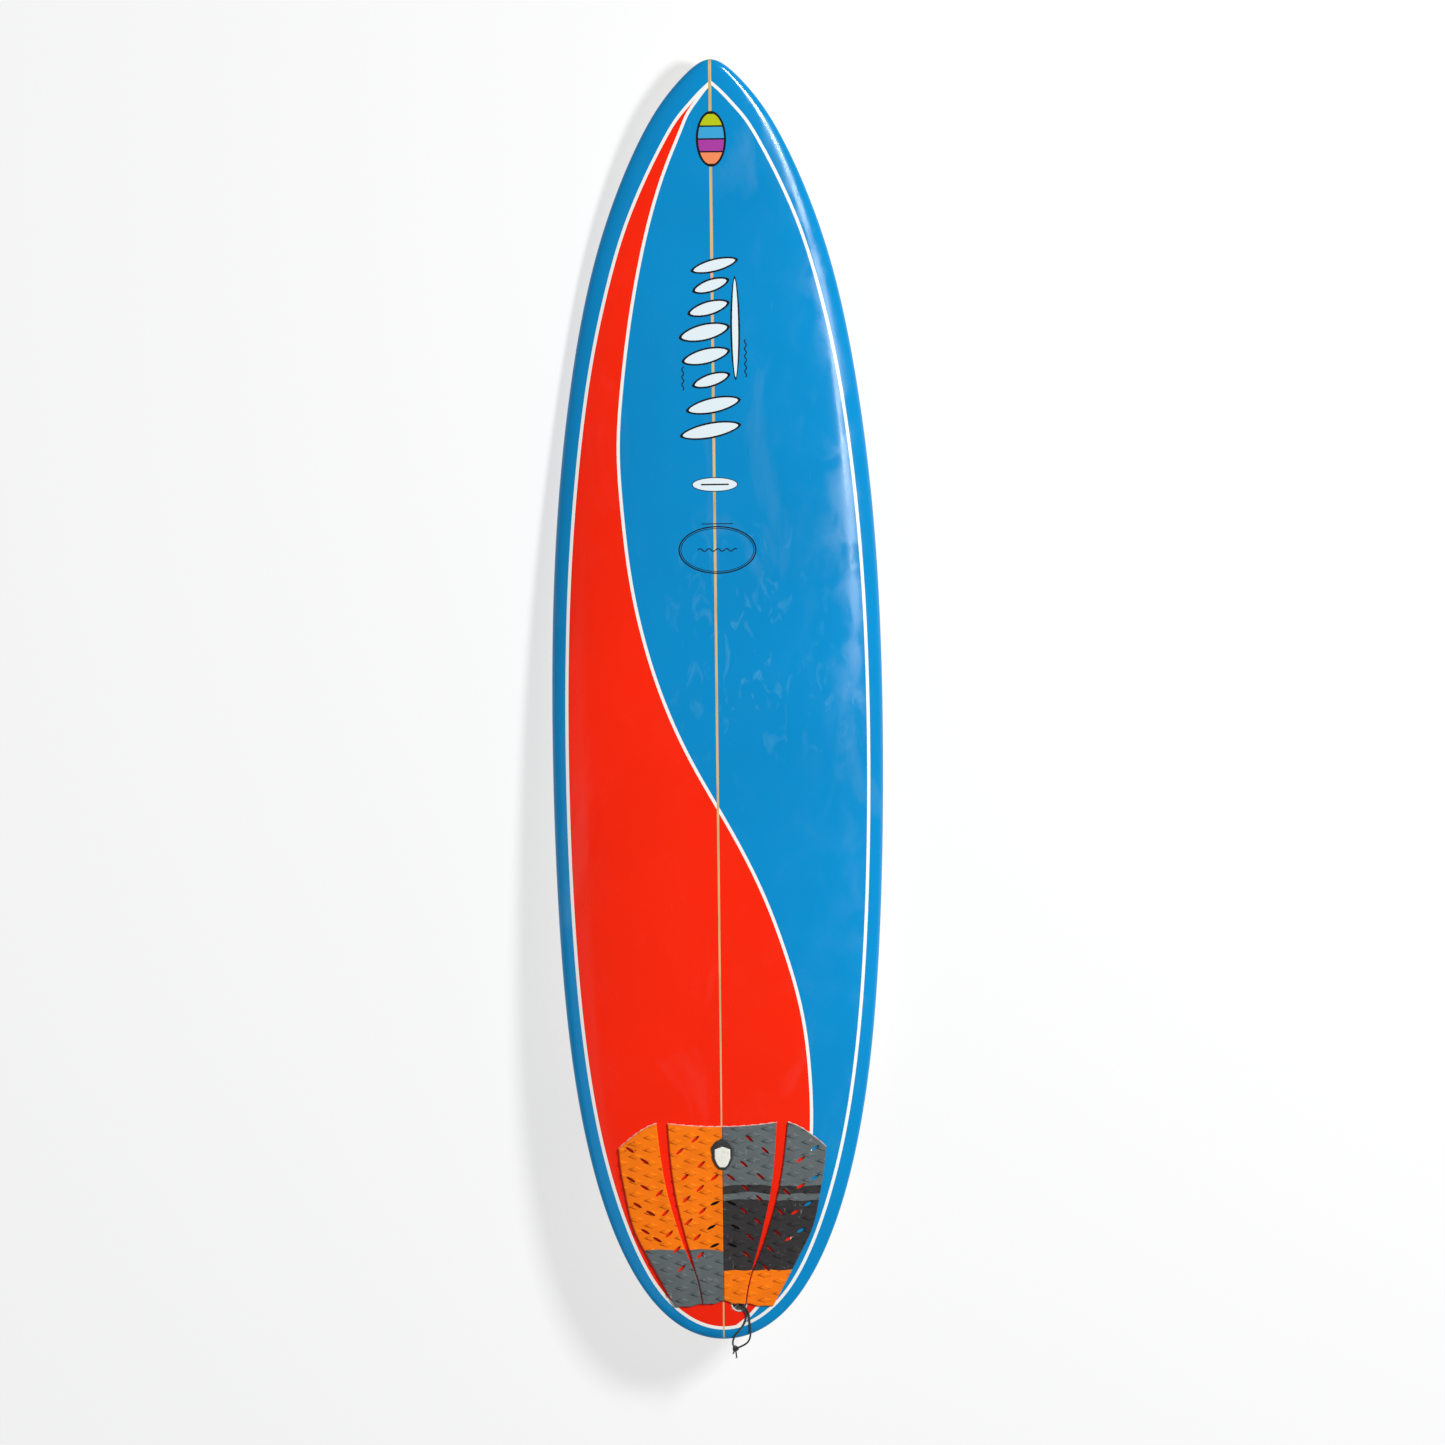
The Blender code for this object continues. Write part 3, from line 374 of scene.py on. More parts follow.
class Surface:
    """The node tree of one material, built up from masks, colours and bumps."""

    def __init__(self, name, colour, roughness, **sockets):
        self.material = bpy.data.materials.new(name)
        self.material.use_nodes = True
        self.nodes = self.material.node_tree.nodes
        self.links = self.material.node_tree.links
        self.shader = self.nodes["Principled BSDF"]
        self.shader.inputs["Base Color"].default_value = (*colour, 1.0)
        self.shader.inputs["Roughness"].default_value = roughness
        for socket, value in sockets.items():
            self.shader.inputs[socket].default_value = value
        self.colour = colour
        self.place = self.nodes.new("ShaderNodeTexCoord").outputs["Object"]
        self.height = None

    def coordinates(self, stretch=(1.0, 1.0, 1.0), turn_deg=0.0):
        mapping = self.nodes.new("ShaderNodeMapping")
        mapping.inputs["Scale"].default_value = stretch
        mapping.inputs["Rotation"].default_value = (0.0, 0.0, math.radians(turn_deg))
        self.links.new(self.place, mapping.inputs["Vector"])
        return mapping.outputs["Vector"]

    def noise(self, scale, detail=4.0, stretch=(1.0, 1.0, 1.0), turn_deg=0.0, distortion=0.0):
        node = self.nodes.new("ShaderNodeTexNoise")
        node.inputs["Scale"].default_value = scale
        node.inputs["Detail"].default_value = detail
        node.inputs["Distortion"].default_value = distortion
        self.links.new(self.coordinates(stretch, turn_deg), node.inputs["Vector"])
        return node.outputs["Fac"]

    def cells(self, scale):
        node = self.nodes.new("ShaderNodeTexVoronoi")
        node.inputs["Scale"].default_value = scale
        self.links.new(self.coordinates(), node.inputs["Vector"])
        return node.outputs["Distance"]

    def bands(self, scale, distortion, direction):
        node = self.nodes.new("ShaderNodeTexWave")
        node.bands_direction = direction
        node.inputs["Scale"].default_value = scale
        node.inputs["Distortion"].default_value = distortion
        self.links.new(self.place, node.inputs["Vector"])
        return node.outputs["Fac"]

    def attribute(self, name):
        node = self.nodes.new("ShaderNodeAttribute")
        node.attribute_name = name
        return node.outputs["Fac"]

    def between(self, value, low, high, to_low=0.0, to_high=1.0):
        """The value's stretch from low to high, mapped to another stretch and held at its ends."""
        node = self.nodes.new("ShaderNodeMapRange")
        ends = {"From Min": low, "From Max": high, "To Min": to_low, "To Max": to_high}
        for socket, number in ends.items():
            node.inputs[socket].default_value = number
        self.links.new(value, node.inputs["Value"])
        return node.outputs["Result"]

    def times(self, first, second):
        node = self.nodes.new("ShaderNodeMath")
        node.operation = "MULTIPLY"
        self.links.new(first, node.inputs[0])
        self.links.new(second, node.inputs[1])
        return node.outputs["Value"]

    def near(self, centre, radius, squeeze=(1.0, 1.0, 1.0)):
        """A soft spot round a place in the rest pose, 1 at its middle."""
        mapping = self.nodes.new("ShaderNodeMapping")
        mapping.inputs["Location"].default_value = [-c * s for c, s in zip(centre, squeeze)]
        mapping.inputs["Scale"].default_value = squeeze
        self.links.new(self.place, mapping.inputs["Vector"])
        length = self.nodes.new("ShaderNodeVectorMath")
        length.operation = "LENGTH"
        self.links.new(mapping.outputs["Vector"], length.inputs[0])
        return self.between(length.outputs["Value"], 0.0, radius, 1.0, 0.0)

    def tint(self, colour, factor):
        """Mixes another colour over what the base colour holds so far."""
        node = self.nodes.new("ShaderNodeMix")
        node.data_type = "RGBA"
        self.links.new(factor, node.inputs["Factor"])
        base = self.shader.inputs["Base Color"]
        before = base.links[0].from_socket if base.is_linked else None
        if before:
            self.links.new(before, node.inputs["A"])
        else:
            node.inputs["A"].default_value = (*self.colour, 1.0)
        node.inputs["B"].default_value = (*colour, 1.0)
        self.links.new(node.outputs["Result"], base)

    def stain(self, colour, value, low, high, share=1.0):
        """Mixes in another colour, up to a share, as a value goes from low to high."""
        self.tint(colour, self.between(value, low, high, 0.0, share))

    def rough(self, value, low, high, smooth, coarse):
        """Roughness from smooth to coarse, as a value goes from low to high."""
        self.links.new(self.between(value, low, high, smooth, coarse), self.shader.inputs["Roughness"])

    def bump(self, height, distance, strength=1.0):
        node = self.nodes.new("ShaderNodeBump")
        node.inputs["Distance"].default_value = distance
        node.inputs["Strength"].default_value = strength
        self.links.new(height, node.inputs["Height"])
        normal = self.shader.inputs["Normal"]
        if normal.is_linked:
            self.links.new(normal.links[0].from_socket, node.inputs["Normal"])
        self.links.new(node.outputs["Normal"], normal)


def shade(colour, factor):
    return tuple(min(1.0, c * factor) for c in colour)


def gloss_paint(name, colour, cloudy=0.10, lightening=0.35):
    """Tinted resin under a gloss coat: cloudy depth, wipe marks, fine scratches, shallow dents."""
    surface = Surface(name, colour, 0.16, **{"Coat Weight": 0.09, "Coat Roughness": 0.05,
                                             "Specular IOR Level": 0.20})
    surface.stain(shade(colour, 1.0 - cloudy), surface.noise(3.2, 5.0), 0.35, 0.75)
    surface.stain(shade(colour, 1.0 + cloudy), surface.noise(1.4, 3.0), 0.50, 0.80)
    pale = tuple(c * 0.75 + 0.25 for c in colour)
    wipes = surface.noise(9.0, 6.0, (1.0, 0.35, 1.0), 25.0, 0.8)
    surface.stain(pale, wipes, 0.62, 0.80, lightening * 0.5)
    scratches = surface.noise(60.0, 3.0, (9.0, 0.6, 1.0), 12.0)
    surface.stain(pale, scratches, 0.72, 0.80, lightening * 0.5)
    blotches = surface.noise(24.0, 8.0, (1.0, 0.6, 1.0), 0.0, 0.5)
    surface.rough(blotches, 0.40, 0.75, 0.11, 0.34)
    surface.bump(surface.noise(4.5, 2.0), 0.0030, 0.35)
    surface.bump(surface.noise(420.0, 2.0), 0.00002, 0.20)
    return surface


def eva_foam(name, colour, speck=None, scuffs=None):
    """Closed-cell foam: fine grain, uneven colour, and dark specks or pale scuffs where asked.

    The attribute read here paints shade into the cuts round the stars' left tips, where the cuts are real,
    and paints a highlight on the stars' upper right edges, where the light falls.
    """
    surface = Surface(name, colour, 0.86, **{"Sheen Weight": 0.02, "Sheen Roughness": 0.6,
                                             "Specular IOR Level": 0.20})
    surface.stain(shade(colour, 0.80), surface.noise(38.0, 6.0), 0.45, 0.85)
    surface.stain(shade(colour, 1.22), surface.noise(90.0, 4.0), 0.55, 0.80, 0.6)
    lattice_shading = surface.attribute("lattice_shading")
    # painted shade in the cuts on the stars' shadowed left side
    surface.tint(shade(colour, 0.30), surface.between(lattice_shading, 0.05, 0.45, 0.85, 0.0))
    # painted highlight on the stars' lit upper right edges
    surface.stain(shade(colour, 1.55), lattice_shading, 0.60, 0.95, 0.85)
    if speck:
        spots = surface.between(surface.cells(85.0), 0.10, 0.16, 0.85, 0.0)
        rare = surface.between(surface.noise(30.0, 1.0), 0.62, 0.66)
        surface.tint(speck, surface.times(spots, rare))
    if scuffs:
        marks = surface.between(surface.noise(140.0, 5.0, (1.0, 0.6, 1.0), 0.0, 1.2), 0.64, 0.74)
        zone = surface.between(surface.noise(26.0, 2.0), 0.50, 0.62, 0.0, 0.75)
        surface.tint(scuffs, surface.times(marks, zone))
    surface.rough(surface.noise(60.0, 3.0), 0.3, 0.7, 0.78, 0.95)
    surface.bump(surface.noise(1500.0, 3.0), 0.0002, 0.6)
    surface.bump(surface.cells(900.0), 0.00015, 0.4)
    return surface


BLUE = linear(0, 139, 202)
RED = linear(255, 36, 0)
TAN = linear(222, 186, 128)
DECAL_COLOURS = {
    "decal_black": (22, 22, 24), "decal_green": (186, 198, 20), "decal_purple": (170, 60, 160),
    "decal_orange": (245, 140, 90), "decal_sky": (60, 165, 215),
}
# where the deck's blue is smeared by wipes: place in the rest pose and reach
SMEARS = (((0.20, -0.01, 0.09), 0.07), ((-0.10, 0.62, 0.14), 0.09), ((0.05, 0.10, 0.10), 0.16))


def deck_blue():
    blue = gloss_paint("deck_blue", BLUE)
    # darker blue in noisy blotches round a spot near the tail's left tip
    tail = blue.near((-0.03, -1.01, 0.16), 0.11, (1.0, 1.6, 1.0))
    blotches = blue.between(blue.noise(22.0, 5.0), 0.42, 0.62, 0.0, 0.5)
    blue.tint(linear(0, 96, 150), blue.times(tail, blotches))
    for place, reach in SMEARS:
        spot = blue.near(place, reach, (1.0, 0.6, 1.0))
        smear = blue.between(blue.noise(38.0, 7.0, (1.0, 0.5, 1.0), 40.0, 1.4), 0.56, 0.72, 0.0, 0.30)
        blue.tint(linear(120, 190, 222), blue.times(spot, smear))
    return blue


def cedar():
    wood = Surface("stringer_cedar", TAN, 0.30, **{"Coat Weight": 0.12, "Specular IOR Level": 0.28})
    grain = wood.noise(160.0, 5.0, (1.0, 0.02, 1.0))
    wood.stain(shade(TAN, 0.62), grain, 0.45, 0.80)
    wood.bump(grain, 0.00005, 0.3)
    return wood


def glue_film():
    glue = Surface("adhesive_film", linear(238, 178, 172), 0.55)
    glue.stain(linear(226, 216, 208), glue.noise(70.0, 5.0), 0.45, 0.65)
    glue.stain(linear(214, 108, 92), glue.noise(45.0, 4.0), 0.60, 0.75, 0.8)
    glue.bump(glue.noise(500.0, 4.0), 0.0002, 0.5)
    return glue


def cup_plastic():
    cup = Surface("leash_plug_plastic", linear(216, 214, 206), 0.38)
    cup.stain(linear(150, 146, 136), cup.noise(160.0, 6.0), 0.52, 0.80, 0.8)
    cup.rough(cup.noise(240.0, 3.0), 0.3, 0.7, 0.28, 0.50)
    cup.bump(cup.noise(1200.0, 3.0), 0.00008, 0.5)
    return cup


def plug_plastic():
    plug = Surface("fin_plug_plastic", linear(38, 38, 40), 0.42)
    plug.stain(linear(72, 72, 72), plug.noise(220.0, 6.0), 0.50, 0.85)
    plug.rough(plug.noise(300.0, 3.0), 0.3, 0.7, 0.34, 0.52)
    plug.bump(plug.noise(1600.0, 3.0), 0.00008, 0.5)
    return plug


def stainless_steel():
    steel = Surface("stainless_steel", linear(186, 186, 184), 0.28, Metallic=1.0)
    steel.stain(linear(120, 116, 108), steel.noise(700.0, 6.0), 0.50, 0.80)
    steel.rough(steel.noise(1500.0, 4.0, (1.0, 1.0, 6.0)), 0.3, 0.7, 0.20, 0.42)
    steel.bump(steel.noise(2500.0, 3.0), 0.00003, 0.5)
    return steel


def string_nylon():
    string = Surface("string_nylon", linear(34, 38, 42), 0.70, **{"Sheen Weight": 0.25})
    string.stain(linear(78, 84, 90), string.noise(1400.0, 3.0), 0.50, 0.80, 0.7)
    string.bump(string.noise(5000.0, 3.0), 0.00015, 0.7)
    return string


def fin_composite():
    fin = Surface("fin_composite", linear(30, 31, 34), 0.30, **{"Coat Weight": 0.25})
    weave = fin.times(fin.bands(420.0, 0.4, "Y"), fin.bands(420.0, 0.4, "Z"))
    fin.stain(linear(62, 64, 68), weave, 0.25, 0.75, 0.7)
    fin.stain(linear(20, 20, 22), fin.noise(14.0, 4.0), 0.45, 0.75)
    fin.rough(fin.noise(80.0, 6.0), 0.35, 0.75, 0.22, 0.42)
    fin.bump(weave, 0.00004, 0.4)
    return fin


def blank_foam():
    foam = Surface("blank_foam", linear(238, 233, 214), 0.92)
    foam.stain(linear(222, 214, 190), foam.noise(60.0, 6.0), 0.40, 0.70)
    foam.bump(foam.cells(1400.0), 0.0002, 0.5)
    return foam


def badge_rubber():
    badge = Surface("badge_rubber", linear(36, 36, 36), 0.48)
    badge.stain(linear(70, 70, 68), badge.noise(260.0, 5.0), 0.52, 0.80)
    badge.bump(badge.noise(1300.0, 3.0), 0.0001, 0.5)
    return badge


def badge_white():
    field = Surface("badge_white", linear(238, 238, 228), 0.42)
    field.stain(linear(178, 172, 158), field.noise(240.0, 6.0), 0.55, 0.80, 0.7)
    field.bump(field.noise(1300.0, 3.0), 0.0001, 0.5)
    return field


def build_materials():
    made = {
        "blue": deck_blue(),
        "red": gloss_paint("deck_red", RED, 0.12, 0.20),
        "bottom": gloss_paint("bottom_white", linear(232, 231, 222), 0.03, 0.0),
        "line": gloss_paint("pinline_white", linear(246, 246, 240), 0.03, 0.0),
        "decal_white": gloss_paint("decal_white", linear(226, 238, 243), 0.03, 0.0),
        "orange": eva_foam("eva_orange", linear(255, 124, 4), speck=linear(120, 40, 20)),
        "grey": eva_foam("eva_grey", linear(99, 106, 107), scuffs=linear(170, 174, 170)),
        "black": eva_foam("eva_black", linear(52, 50, 51), scuffs=linear(150, 146, 140)),
        "slit": eva_foam("eva_slit_shadow", linear(14, 13, 13)),
        "wood": cedar(),
        "adhesive": glue_film(),
        "cup": cup_plastic(),
        "plug": plug_plastic(),
        "steel": stainless_steel(),
        "string": string_nylon(),
        "fin": fin_composite(),
        "foam": blank_foam(),
        "badge": badge_rubber(),
        "badge_white": badge_white(),
    }
    for name, colour in DECAL_COLOURS.items():
        made[name] = gloss_paint(name, linear(*colour), 0.05, 0.10)
    return {name: surface.material for name, surface in made.items()}


MATERIALS = build_materials()


# ---- board skins and painted areas ------------------------------------------------------------
LENGTH_ROWS = 420
CROWN_COLUMNS = 44            # from the centre line to where the deck starts to drop away
CROWN_SHARE = 0.93
RAIL_STEP_DEG = 2.5
FLAT_COLUMNS = 42             # across the flat of the underside
INNER_LENGTH = 0.996          # length of a skin's inside, as a share of its outside
SKIN_SHARP_DEG = 50.0


def crown_angles():
    """Angles round the deck half, even across the flat part and even round the rail."""
    shares = np.linspace(0.0, CROWN_SHARE, CROWN_COLUMNS)
    flat = np.arcsin(shares ** (DECK_CROWN_POWER / 2.0))
    count = int((PAINT_EDGE_DEG - math.degrees(flat[-1])) / RAIL_STEP_DEG) + 2
    rail = np.linspace(flat[-1], math.radians(PAINT_EDGE_DEG), count)[1:]
    return np.concatenate([flat, rail])


def skin_grids(angles, flat, depth):
    """The skin's outer grid and its inner one, which is a little shorter."""
    theta = np.linspace(-math.pi / 2.0, math.pi / 2.0, LENGTH_ROWS)
    y = (HALF_LENGTH * np.sin(theta))[:, None]
    outer = skin_point(y, angles[None, :], flat[None, :])
    inner = skin_point(y * INNER_LENGTH, angles[None, :], flat[None, :])
    inward = np.stack([np.sin(angles), 0.0 * angles, np.cos(angles)], axis=-1)
    return outer, inner - depth * inward[None, :, :]


def plug_frame(origin, normal, turn_deg):
    """Frame with Z along the normal and Y as near to the nose as it can be, turned about Z."""
    z_axis = Vector(normal).normalized()
    x_axis = Vector((0.0, 1.0, 0.0)).cross(z_axis).normalized()
    basis = Matrix((x_axis, z_axis.cross(x_axis), z_axis)).transposed().to_4x4()
    return Matrix.Translation(Vector(origin)) @ basis @ Matrix.Rotation(math.radians(turn_deg), 4, "Z")


LEASH_PLUG_X = 0.024
LEASH_PLUG_Y = -0.9595
LEASH_PLUG_TURN_DEG = 42.0
CUP_RADIUS = 0.0135
CUP_BORE = 0.011
CUP_HEIGHT = 0.0178
CUP_DEPTH = 0.0158
CUP_SINK = 0.2 * MM
HOLE_REACH = 0.010            # how far a cutter goes each way from the skin
SLOPE_STEP = 0.001


def leash_plug_frame():
    step = SLOPE_STEP
    x, y = LEASH_PLUG_X, LEASH_PLUG_Y
    slope_x = (deck_height(x + step, y) - deck_height(x - step, y)) / (2 * step)
    slope_y = (deck_height(x, y + step) - deck_height(x, y - step)) / (2 * step)
    origin = (x, y, float(deck_height(x, y)) - CUP_SINK)
    return plug_frame(origin, (-float(slope_x), -float(slope_y), 1.0), LEASH_PLUG_TURN_DEG)


CUP_FRAME = leash_plug_frame()


def cut_cup_hole(piece):
    boolean(piece, rod("cup_hole", CUP_RADIUS + GAP, -HOLE_REACH, HOLE_REACH, CUP_FRAME))


def cut_plug_holes(piece, fin):
    """Cut the holes of a fin's two plugs."""
    for sign in (1, -1):
        seat = fin_frame(fin, sign * TAB_SPACING, with_cant=False)
        boolean(piece, rod("plug_hole", FIN_PLUG_RADIUS + GAP, -HOLE_REACH, HOLE_REACH, seat))


def build_skins():
    half = crown_angles()
    angles = np.concatenate([-half[:0:-1], half])
    outer, inner = skin_grids(angles, np.ones_like(angles), SKIN)
    deck = shell("deck_skin", outer, inner, MATERIALS["blue"], sharp_deg=SKIN_SHARP_DEG)
    cut_cup_hole(deck)
    attach(deck, "deck_gloss", "deck_glass")

    tuck = np.radians(np.arange(PAINT_EDGE_DEG, 180.1, RAIL_STEP_DEG))
    inner_shares = np.linspace(1.0, -1.0, FLAT_COLUMNS)[1:-1]
    angles = np.concatenate([tuck, np.full(len(inner_shares), math.pi), -tuck[::-1]])
    flat = np.concatenate([np.ones_like(tuck), inner_shares, np.ones_like(tuck)])
    outer, inner = skin_grids(angles, flat, SKIN)
    bottom = shell("bottom_skin", outer, inner, MATERIALS["bottom"], sharp_deg=SKIN_SHARP_DEG)
    for fin in FINS.values():
        cut_plug_holes(bottom, fin)
    attach(bottom, "bottom_gloss", "bottom_glass")


# the border's line on the right half, from its point at the nose to the middle of the tail
BORDER = (
    (0.0, 0.9795), (0.0115, 0.9695), (0.0340, 0.946), (0.0528, 0.924), (0.0742, 0.890), (0.0903, 0.860),
    (0.1190, 0.800), (0.1392, 0.750), (0.1693, 0.650), (0.1920, 0.550), (0.2148, 0.400), (0.2325, 0.200),
    (0.2393, 0.0), (0.2382, -0.200), (0.2297, -0.400), (0.2098, -0.600), (0.1920, -0.700), (0.1715, -0.780),
    (0.1475, -0.850), (0.1248, -0.900), (0.0998, -0.940), (0.0710, -0.970), (0.0370, -0.991), (0.0, -0.9985),
)
LINE_WIDTH = 5.0 * MM
BORDER_STEP = 6.0 * MM
# (y, x) of the line that sweeps across the deck, from the tail to the nose
SWEEP = (
    (-0.9958, 0.0203), (-0.990, 0.028), (-0.980, 0.0395), (-0.970, 0.049), (-0.900, 0.092), (-0.800, 0.126),
    (-0.700, 0.141), (-0.600, 0.1405), (-0.500, 0.129), (-0.400, 0.1025), (-0.300, 0.065), (-0.200, 0.0145),
    (-0.100, -0.0415), (0.0, -0.086), (0.100, -0.117), (0.200, -0.137), (0.300, -0.148), (0.400, -0.153),
    (0.500, -0.146), (0.600, -0.133), (0.700, -0.1145), (0.800, -0.0885), (0.860, -0.067),
    (0.910, -0.046), (0.930, -0.0370), (0.941, -0.0300), (0.955, -0.0195), (0.968, -0.0095), (0.974, -0.004),
)
SWEEP_ROWS = 700
PANEL_TOP_Y = 0.948
PANEL_TAIL = 0.03             # length of the panel's tail end, where its rows are finer
PANEL_TAIL_ROWS = 30
PANEL_ROWS = 300
PANEL_COLUMNS = 52
STRINGER_X = -0.001
STRINGER_ROWS = 420
STRINGER_ENDS = (-1.51, 1.525)                                    # arc sines of its ends' places
STRINGER_WIDTHS = ((-0.65, 0.0, 1.0), (2.5 * MM, 4.0 * MM, 4.8 * MM))     # places and widths there
LIFTS = {"panel": 0.12 * MM, "sweep": 0.18 * MM, "border": 0.24 * MM, "stringer": 0.30 * MM,
         "decal_low": 0.36 * MM, "decal_mid": 0.44 * MM, "decal_high": 0.52 * MM}


def border_line():
    """Even points down the right half of the border, from the nose to the tail."""
    right = np.array(BORDER)
    left = right[-2::-1] * (-1.0, 1.0)
    line = resampled(np.concatenate([right, left]), BORDER_STEP)
    inside = line[line[:, 0] > BORDER_STEP / 4.0]
    return np.concatenate([right[:1], inside, right[-1:]])


BORDER_LINE = border_line()
SWEEP_CURVE = side_curve(SWEEP)


def border_half_width(y):
    return np.interp(y, BORDER_LINE[::-1, 1], BORDER_LINE[::-1, 0])


def build_border():
    """The two halves of the border; their nose ends are slid along their sides to meet."""
    grid = ribbon(BORDER_LINE, LINE_WIDTH, 4)
    slope = (grid[0] - grid[1]) / (grid[0, :, :1] - grid[1, :, :1])
    grid[0] = grid[1] - slope * grid[1, :, :1]
    film("pinline_border_right", grid, "border", "line")
    film("pinline_border_left", grid * (-1.0, 1.0), "border", "line")


def build_sweep():
    y = np.linspace(SWEEP[0][0], SWEEP[-1][0], SWEEP_ROWS)
    film("pinline_sweep", ribbon(np.stack([SWEEP_CURVE(y), y], axis=-1), LINE_WIDTH), "sweep", "line")


def build_panel():
    """The red area between the border's left half and the sweep."""
    bottom = BORDER[-1][1]
    shares = np.linspace(0.0, 1.0, PANEL_TAIL_ROWS, endpoint=False)
    upper_rows = np.linspace(bottom + PANEL_TAIL, PANEL_TOP_Y, PANEL_ROWS)
    rows = np.concatenate([bottom + PANEL_TAIL * shares ** 2, upper_rows])
    width = border_half_width(rows)
    edge = np.clip(SWEEP_CURVE(np.maximum(rows, SWEEP[0][0])), -width, width)
    shares = np.linspace(0.0, 1.0, PANEL_COLUMNS) ** 1.5
    x = -width[:, None] + (edge + width)[:, None] * shares[None, :]
    grid = np.stack([x, np.broadcast_to(rows[:, None], x.shape)], axis=-1)
    cut_cup_hole(film("red_panel", grid, "panel", "red"))


def build_stringer_line():
    """The stringer's line on the deck, and on the underside as far as the centre fin's plugs allow."""
    y = HALF_LENGTH * np.sin(np.linspace(*STRINGER_ENDS, STRINGER_ROWS))
    line = np.stack([np.full_like(y, STRINGER_X), y], axis=-1)
    places = ribbon(line, np.interp(y, *STRINGER_WIDTHS))
    film("stringer_line", places, "stringer", "wood", "stringer_wood")

    x, y = places[..., 0], places[..., 1]
    below = bottom_height(y)
    piece = shell("stringer_line_bottom", np.stack([x, y, below - LIFTS["panel"]], axis=-1),
                  np.stack([x, y, below + SUNK], axis=-1), MATERIALS["wood"])
    cut_plug_holes(piece, FINS["centre"])
    attach(piece, "stringer_wood")


def build_paint():
    build_border()
    build_sweep()
    build_panel()
    build_stringer_line()


# ---- decals -----------------------------------------------------------------------------------
DISC_SIDES = 72
NOSE_OVAL = (0.0, 0.890)
NOSE_OVAL_SIZE = (0.0240, 0.0440)
NOSE_FIELD_SIZE = (0.0205, 0.0405)
NOSE_BANDS = ("decal_orange", "decal_purple", "decal_sky", "decal_green")
BAND_GAP = 0.03               # half the black between two bands, as a share of the oval

# stripes of the large decal: height of the middle, left end, right end and thickness
STRIPES = (
    (0.428, -0.050, 0.038, 0.020), (0.468, -0.040, 0.038, 0.020), (0.508, -0.030, 0.022, 0.016),
    (0.546, -0.046, 0.022, 0.020), (0.584, -0.050, 0.022, 0.022), (0.622, -0.036, 0.022, 0.018),
    (0.658, -0.028, 0.022, 0.016), (0.690, -0.030, 0.036, 0.016),
)
STRIPE_RISE = 0.016           # how much higher a stripe's right end is than its left one
STRIPE_BULGE = 0.55           # below 1 the stripes are blunter
UPRIGHT = (0.0350, 0.512, 0.668, 0.0095)
RIM_WIDTH = 2.9 * MM
RIM_REACH = 1.6               # how far a rim goes past a stripe's ends, in rim widths

SMALL_OVAL = (0.0, 0.342)
THIN_OVAL = (0.003, 0.238)
THIN_RINGS = ((0.0610, 0.0370, 1.9 * MM), (0.0580, 0.0342, 1.0 * MM))
THIN_CAP_Y = 0.2795


def disc(centre, semi_x, semi_y, rings=8):
    """Grid of places over an ellipse, from its middle outward."""
    rim = ellipse((0.0, 0.0), semi_x, semi_y, DISC_SIDES)
    shares = np.linspace(0.0, 1.0, rings)[:, None, None]
    return np.asarray(centre) + shares * rim[None, :, :]


def band(centre, semi_x, semi_y, low, high, rows=8, columns=12):
    """Grid over the part of an ellipse between two heights, given as shares of its semi-axis."""
    heights = np.linspace(low, high, rows)
    reach = np.sqrt(np.maximum(1.0 - heights ** 2, 0.0)) * semi_x
    x = centre[0] + reach[:, None] * np.linspace(-1.0, 1.0, columns)[None, :]
    y = centre[1] + np.broadcast_to((heights * semi_y)[:, None], x.shape)
    return np.stack([x, y], axis=-1)


def level_line(low, high, y, count=24):
    """Points straight across the board."""
    x = np.linspace(low, high, count)
    return np.stack([x, np.full_like(x, y)], axis=-1)


def nose_decal():
    film("decal_nose_rim", disc(NOSE_OVAL, *NOSE_OVAL_SIZE), "decal_low", "decal_black", wrap=True)
    edges = np.linspace(-1.0, 1.0, len(NOSE_BANDS) + 1)
    for number, colour in enumerate(NOSE_BANDS):
        grid = band(NOSE_OVAL, *NOSE_FIELD_SIZE, edges[number] + BAND_GAP, edges[number + 1] - BAND_GAP)
        film(f"decal_nose_band_{number + 1}", grid, "decal_mid", colour)


def pointed(start, end, thick, spread):
    """Grid of places over a straight stripe with pointed ends; spread makes it larger all round."""
    start, end = np.asarray(start), np.asarray(end)
    ahead = (end - start) / np.linalg.norm(end - start)
    start = start - RIM_REACH * spread * ahead
    end = end + RIM_REACH * spread * ahead
    share = (1.0 - np.cos(np.linspace(0.0, math.pi, 34))) / 2.0
    bulge = np.sin(math.pi * np.clip(share, 0.002, 0.998)) ** STRIPE_BULGE
    return ribbon(start + (end - start) * share[:, None], (thick + 2.0 * spread) * bulge, 7)


def stripe_decal():
    """A stack of plain slanted stripes with an upright one beside it, white with a black rim."""
    rise = STRIPE_RISE / 2.0
    lines = [((left, middle - rise), (right, middle + rise), thick) for middle, left, right, thick in STRIPES]
    x, low, high, thick = UPRIGHT
    lines.append(((x, low), (x, high), thick))
    for colour, spread, level in (("black", RIM_WIDTH, "decal_low"), ("white", 0.0, "decal_mid")):
        parts = [deck_shell(f"stripe_{k}", pointed(start, end, thick, spread), level, "decal_" + colour)
                 for k, (start, end, thick) in enumerate(lines)]
        attach(joined("decal_stripes_" + colour, parts), "deck_gloss")


